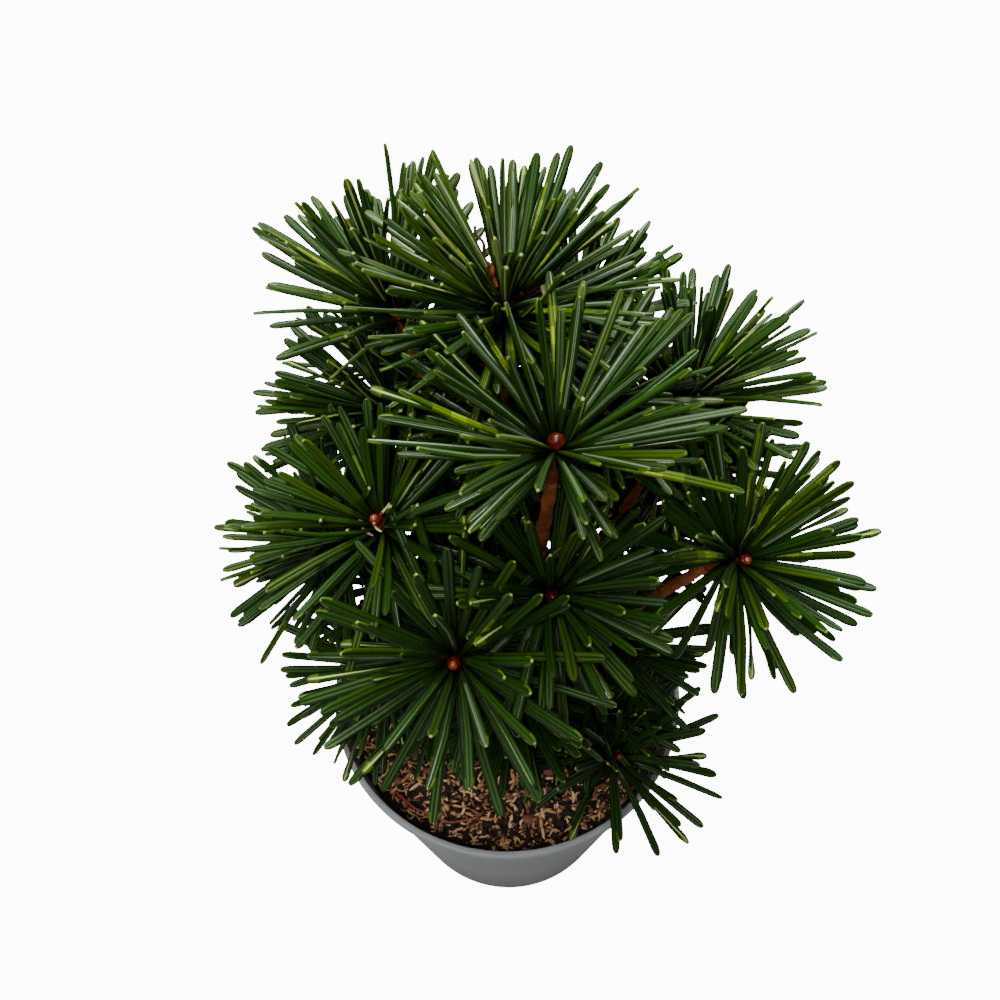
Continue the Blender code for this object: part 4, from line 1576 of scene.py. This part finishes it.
    def add_twig(self, pile: Pile, mass: Mass, shoot: Shoot, owner: int,
                 taken: TakenSpace) -> None:
        """Adds the twig from the fork to the knob, and the knob that the needles leave.

        Args:
            pile: where it goes.
            mass: the mass.
            shoot: the shoot that the twig ends in.
            owner: the number that the mass's stretches are kept under.
            taken: the space that is filled already.
        """
        foot, knob, bud = mass.fork(), shoot.knob(), shoot.bud()
        t = np.linspace(0, 1, 22)[:, None]
        lower = foot - mass.heading() * 0.0012 + (knob - foot + mass.heading() * 0.0012) * t
        upper = knob + (bud - knob) * np.linspace(0.12, 1, 10)[:, None]
        path = np.concatenate([lower, upper])
        radii = np.concatenate([np.full(22, 0.0022), np.linspace(0.0024, 0.0029, 10)])
        rings = carried_rings(path, radii, 16)
        rings = Limbs.bark_relief(rings, path, 7 + owner, 0.00040)
        points, faces = capped_tube(rings)
        noise = lattice_noise(points[faces[0][:, 0]] / 0.0016, 3)
        tones = np.where(noise > 0.25, 1, 0)
        pile.add(points, faces, [tones, 1, 1])
        taken.add_path(owner, path[[0, 10, 21, 31]], np.array([0.0026, 0.0028, 0.0031]))

    @staticmethod
    def add_dry_twig(pile: Pile, twig: DryTwig, bud: np.ndarray) -> None:
        """Adds one dry twig, thickest at its foot.

        Args:
            pile: where it goes.
            twig: the twig.
            bud: where the bud beside it sits.
        """
        share = np.linspace(0, 1, 14)[:, None]
        path = bud + np.array(twig.start) + (np.array(twig.end) - np.array(twig.start)) * share
        path = path + twig.crook * np.array([1.0, 0.0, 1.0]) * np.sin(math.tau * twig.waves * share)
        radii = twig.radius * (1.5 - 0.9 * share[:, 0] ** 0.5)
        rings = Limbs.bark_relief(carried_rings(path, radii, 10), path, 77, 0.2 * twig.radius)
        points, faces = capped_tube(rings)
        tones = list(Wood)
        red, dry = tones.index(Wood.RED), tones.index(twig.tone)
        finish = np.where(share[:-1, 0] < twig.red, red, dry)
        pile.add(points, faces, [np.repeat(finish, 10), finish[0], dry])

    @staticmethod
    def add_bud(pile: Pile, shoot: Shoot, tip: Wood) -> None:
        """Adds a plump bud in overlapping scales.

        The radius is the widest * sin(pi * s ** 0.75) ** 0.6 for s from 0 to 1 up the bud, and
        swells where the spiral rows of scales lie.

        Args:
            pile: where it goes.
            shoot: the shoot that it ends.
            tip: the finish of its upper scales, the painted highlight on most buds.
        """
        tones = list(Wood)
        foot, scale, top = (tones.index(tone) for tone in (Wood.BUD_FOOT_SHADE, Wood.BUD, tip))
        bud, axis = shoot.bud(), shoot.axis()
        widest = 0.0025 * (shoot.needle / 0.060) ** 1.5
        s = np.linspace(0.03, 0.985, 14)
        path = bud - axis * 0.0008 + axis * (s[:, None] * widest * 2.3)
        angle = 2 * math.pi * np.arange(18) / 18
        radii = widest * np.sin(math.pi * s ** 0.75) ** 0.6
        scales = 1 + 0.14 * np.abs(np.sin(2.5 * angle[None] + 8 * s[:, None]))
        scales = scales * (1 + 0.09 * np.sin(3 * angle[None] - 20 * s[:, None]))
        points, faces = capped_tube(carried_rings(path, radii[:, None] * scales, 18))
        # Upper scales take the painted highlight or the plain scale colour; lower scales take the
        # painted shade.
        finish = np.where(s[:-1] > 0.80, top, np.where(s[:-1] < 0.42, foot, scale))
        pile.add(points, faces, [np.repeat(finish, 18), foot, top])


@dataclass
class Studio:
    """The pale floor, the lights and the camera."""

    look_down: float = math.radians(52.04)
    roll: float = math.radians(-1.3)
    lens: float = 36.0
    sensor: float = 36.0
    backdrop: float = 12.0
    sky: float = 0.02

    def build(self, groups: Groups) -> None:
        """Sets up the stage."""
        self.add_floor(groups)
        self.add_camera()
        target = Vector((0.0, 0.0, 0.25))
        self.add_light("overhead", Vector((-0.05, 0.50, 1.50)), target, 1.2, 46.0)
        self.add_light("front", Vector((-0.35, -0.75, 1.35)), target, 0.8, 14.0)
        world = bpy.data.worlds.new("studio")
        bpy.context.scene.world = world
        world.use_nodes = True
        nodes, links = world.node_tree.nodes, world.node_tree.links
        background = nodes["Background"]
        background.inputs["Color"].default_value = (1.0, 1.0, 1.0, 1.0)
        rays = nodes.new("ShaderNodeLightPath")
        strength = nodes.new("ShaderNodeMath")
        strength.operation = "MULTIPLY_ADD"
        strength.inputs[1].default_value = self.backdrop
        strength.inputs[2].default_value = self.sky
        links.new(rays.outputs["Is Camera Ray"], strength.inputs[0])
        links.new(strength.outputs["Value"], background.inputs["Strength"])

    @staticmethod
    def add_light(name: str, place: Vector, target: Vector, size: float, power: float) -> None:
        """A square soft light that faces the target."""
        lamp = bpy.data.lights.new(name, "AREA")
        lamp.size = size
        lamp.energy = power
        item = bpy.data.objects.new(name, lamp)
        item.location = place
        item.rotation_mode = "QUATERNION"
        item.rotation_quaternion = (target - place).to_track_quat("-Z", "Y")
        bpy.context.scene.collection.objects.link(item)

    def add_floor(self, groups: Groups) -> None:
        """A wide pale disc under the pot."""
        angle = 2 * math.pi * np.arange(96) / 96
        radius = np.array([6.0, 5.999, 0.01])
        height = np.array([-0.004, 0.0, 0.0])
        rings = np.stack([radius[:, None] * np.cos(angle), radius[:, None] * np.sin(angle),
                          np.broadcast_to(height[:, None], (3, 96))], axis=-1)
        points, faces = capped_tube(rings)
        mesh = bpy.data.meshes.new("floor")
        corners = [block.tolist() for block in faces]
        mesh.from_pydata(points.tolist(), [], sum(corners, []))
        material = FLOOR.material(groups)
        nodes, links = material.node_tree.nodes, material.node_tree.links
        rays = nodes.new("ShaderNodeLightPath")
        shader = nodes["Principled BSDF"]
        shader.inputs["Emission Color"].default_value = (1.0, 1.0, 1.0, 1.0)
        glow = nodes.new("ShaderNodeMath")
        glow.operation = "MULTIPLY"
        glow.inputs[1].default_value = self.backdrop
        links.new(rays.outputs["Is Camera Ray"], glow.inputs[0])
        links.new(glow.outputs["Value"], shader.inputs["Emission Strength"])
        mesh.materials.append(material)
        floor = bpy.data.objects.new("floor", mesh)
        bpy.context.scene.collection.objects.link(floor)

    def add_camera(self) -> None:
        """The camera at the photograph's viewing angle."""
        forward = Vector((0, math.cos(self.look_down), -math.sin(self.look_down)))
        right = Vector((1, 0, 0))
        up = right.cross(forward)
        turned_right = right * math.cos(self.roll) + up * math.sin(self.roll)
        turned_up = up * math.cos(self.roll) - right * math.sin(self.roll)
        data = bpy.data.cameras.new("camera")
        data.lens = self.lens
        data.sensor_width = self.sensor
        data.clip_start = 0.01
        camera = bpy.data.objects.new("camera", data)
        matrix = Matrix((turned_right, turned_up, -forward)).transposed().to_4x4()
        matrix.translation = Vector(EYE)
        camera.matrix_world = matrix
        bpy.context.scene.collection.objects.link(camera)
        bpy.context.scene.camera = camera


def main() -> None:
    """Builds the pot, the compost, the limbs, the needles and the studio, in that order."""
    logging.basicConfig(level=logging.INFO, format="%(name)s: %(message)s")
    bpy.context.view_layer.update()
    groups = Groups()
    Studio().build(groups)
    pot = Pot()
    pot.build(groups)
    Compost(pot).build(groups)
    taken = TakenSpace()
    limbs = Limbs()
    limbs.build(groups, taken)
    Needles(pot, limbs).build(groups, taken)
    bpy.context.view_layer.update()


if __name__ == "__main__":
    main()
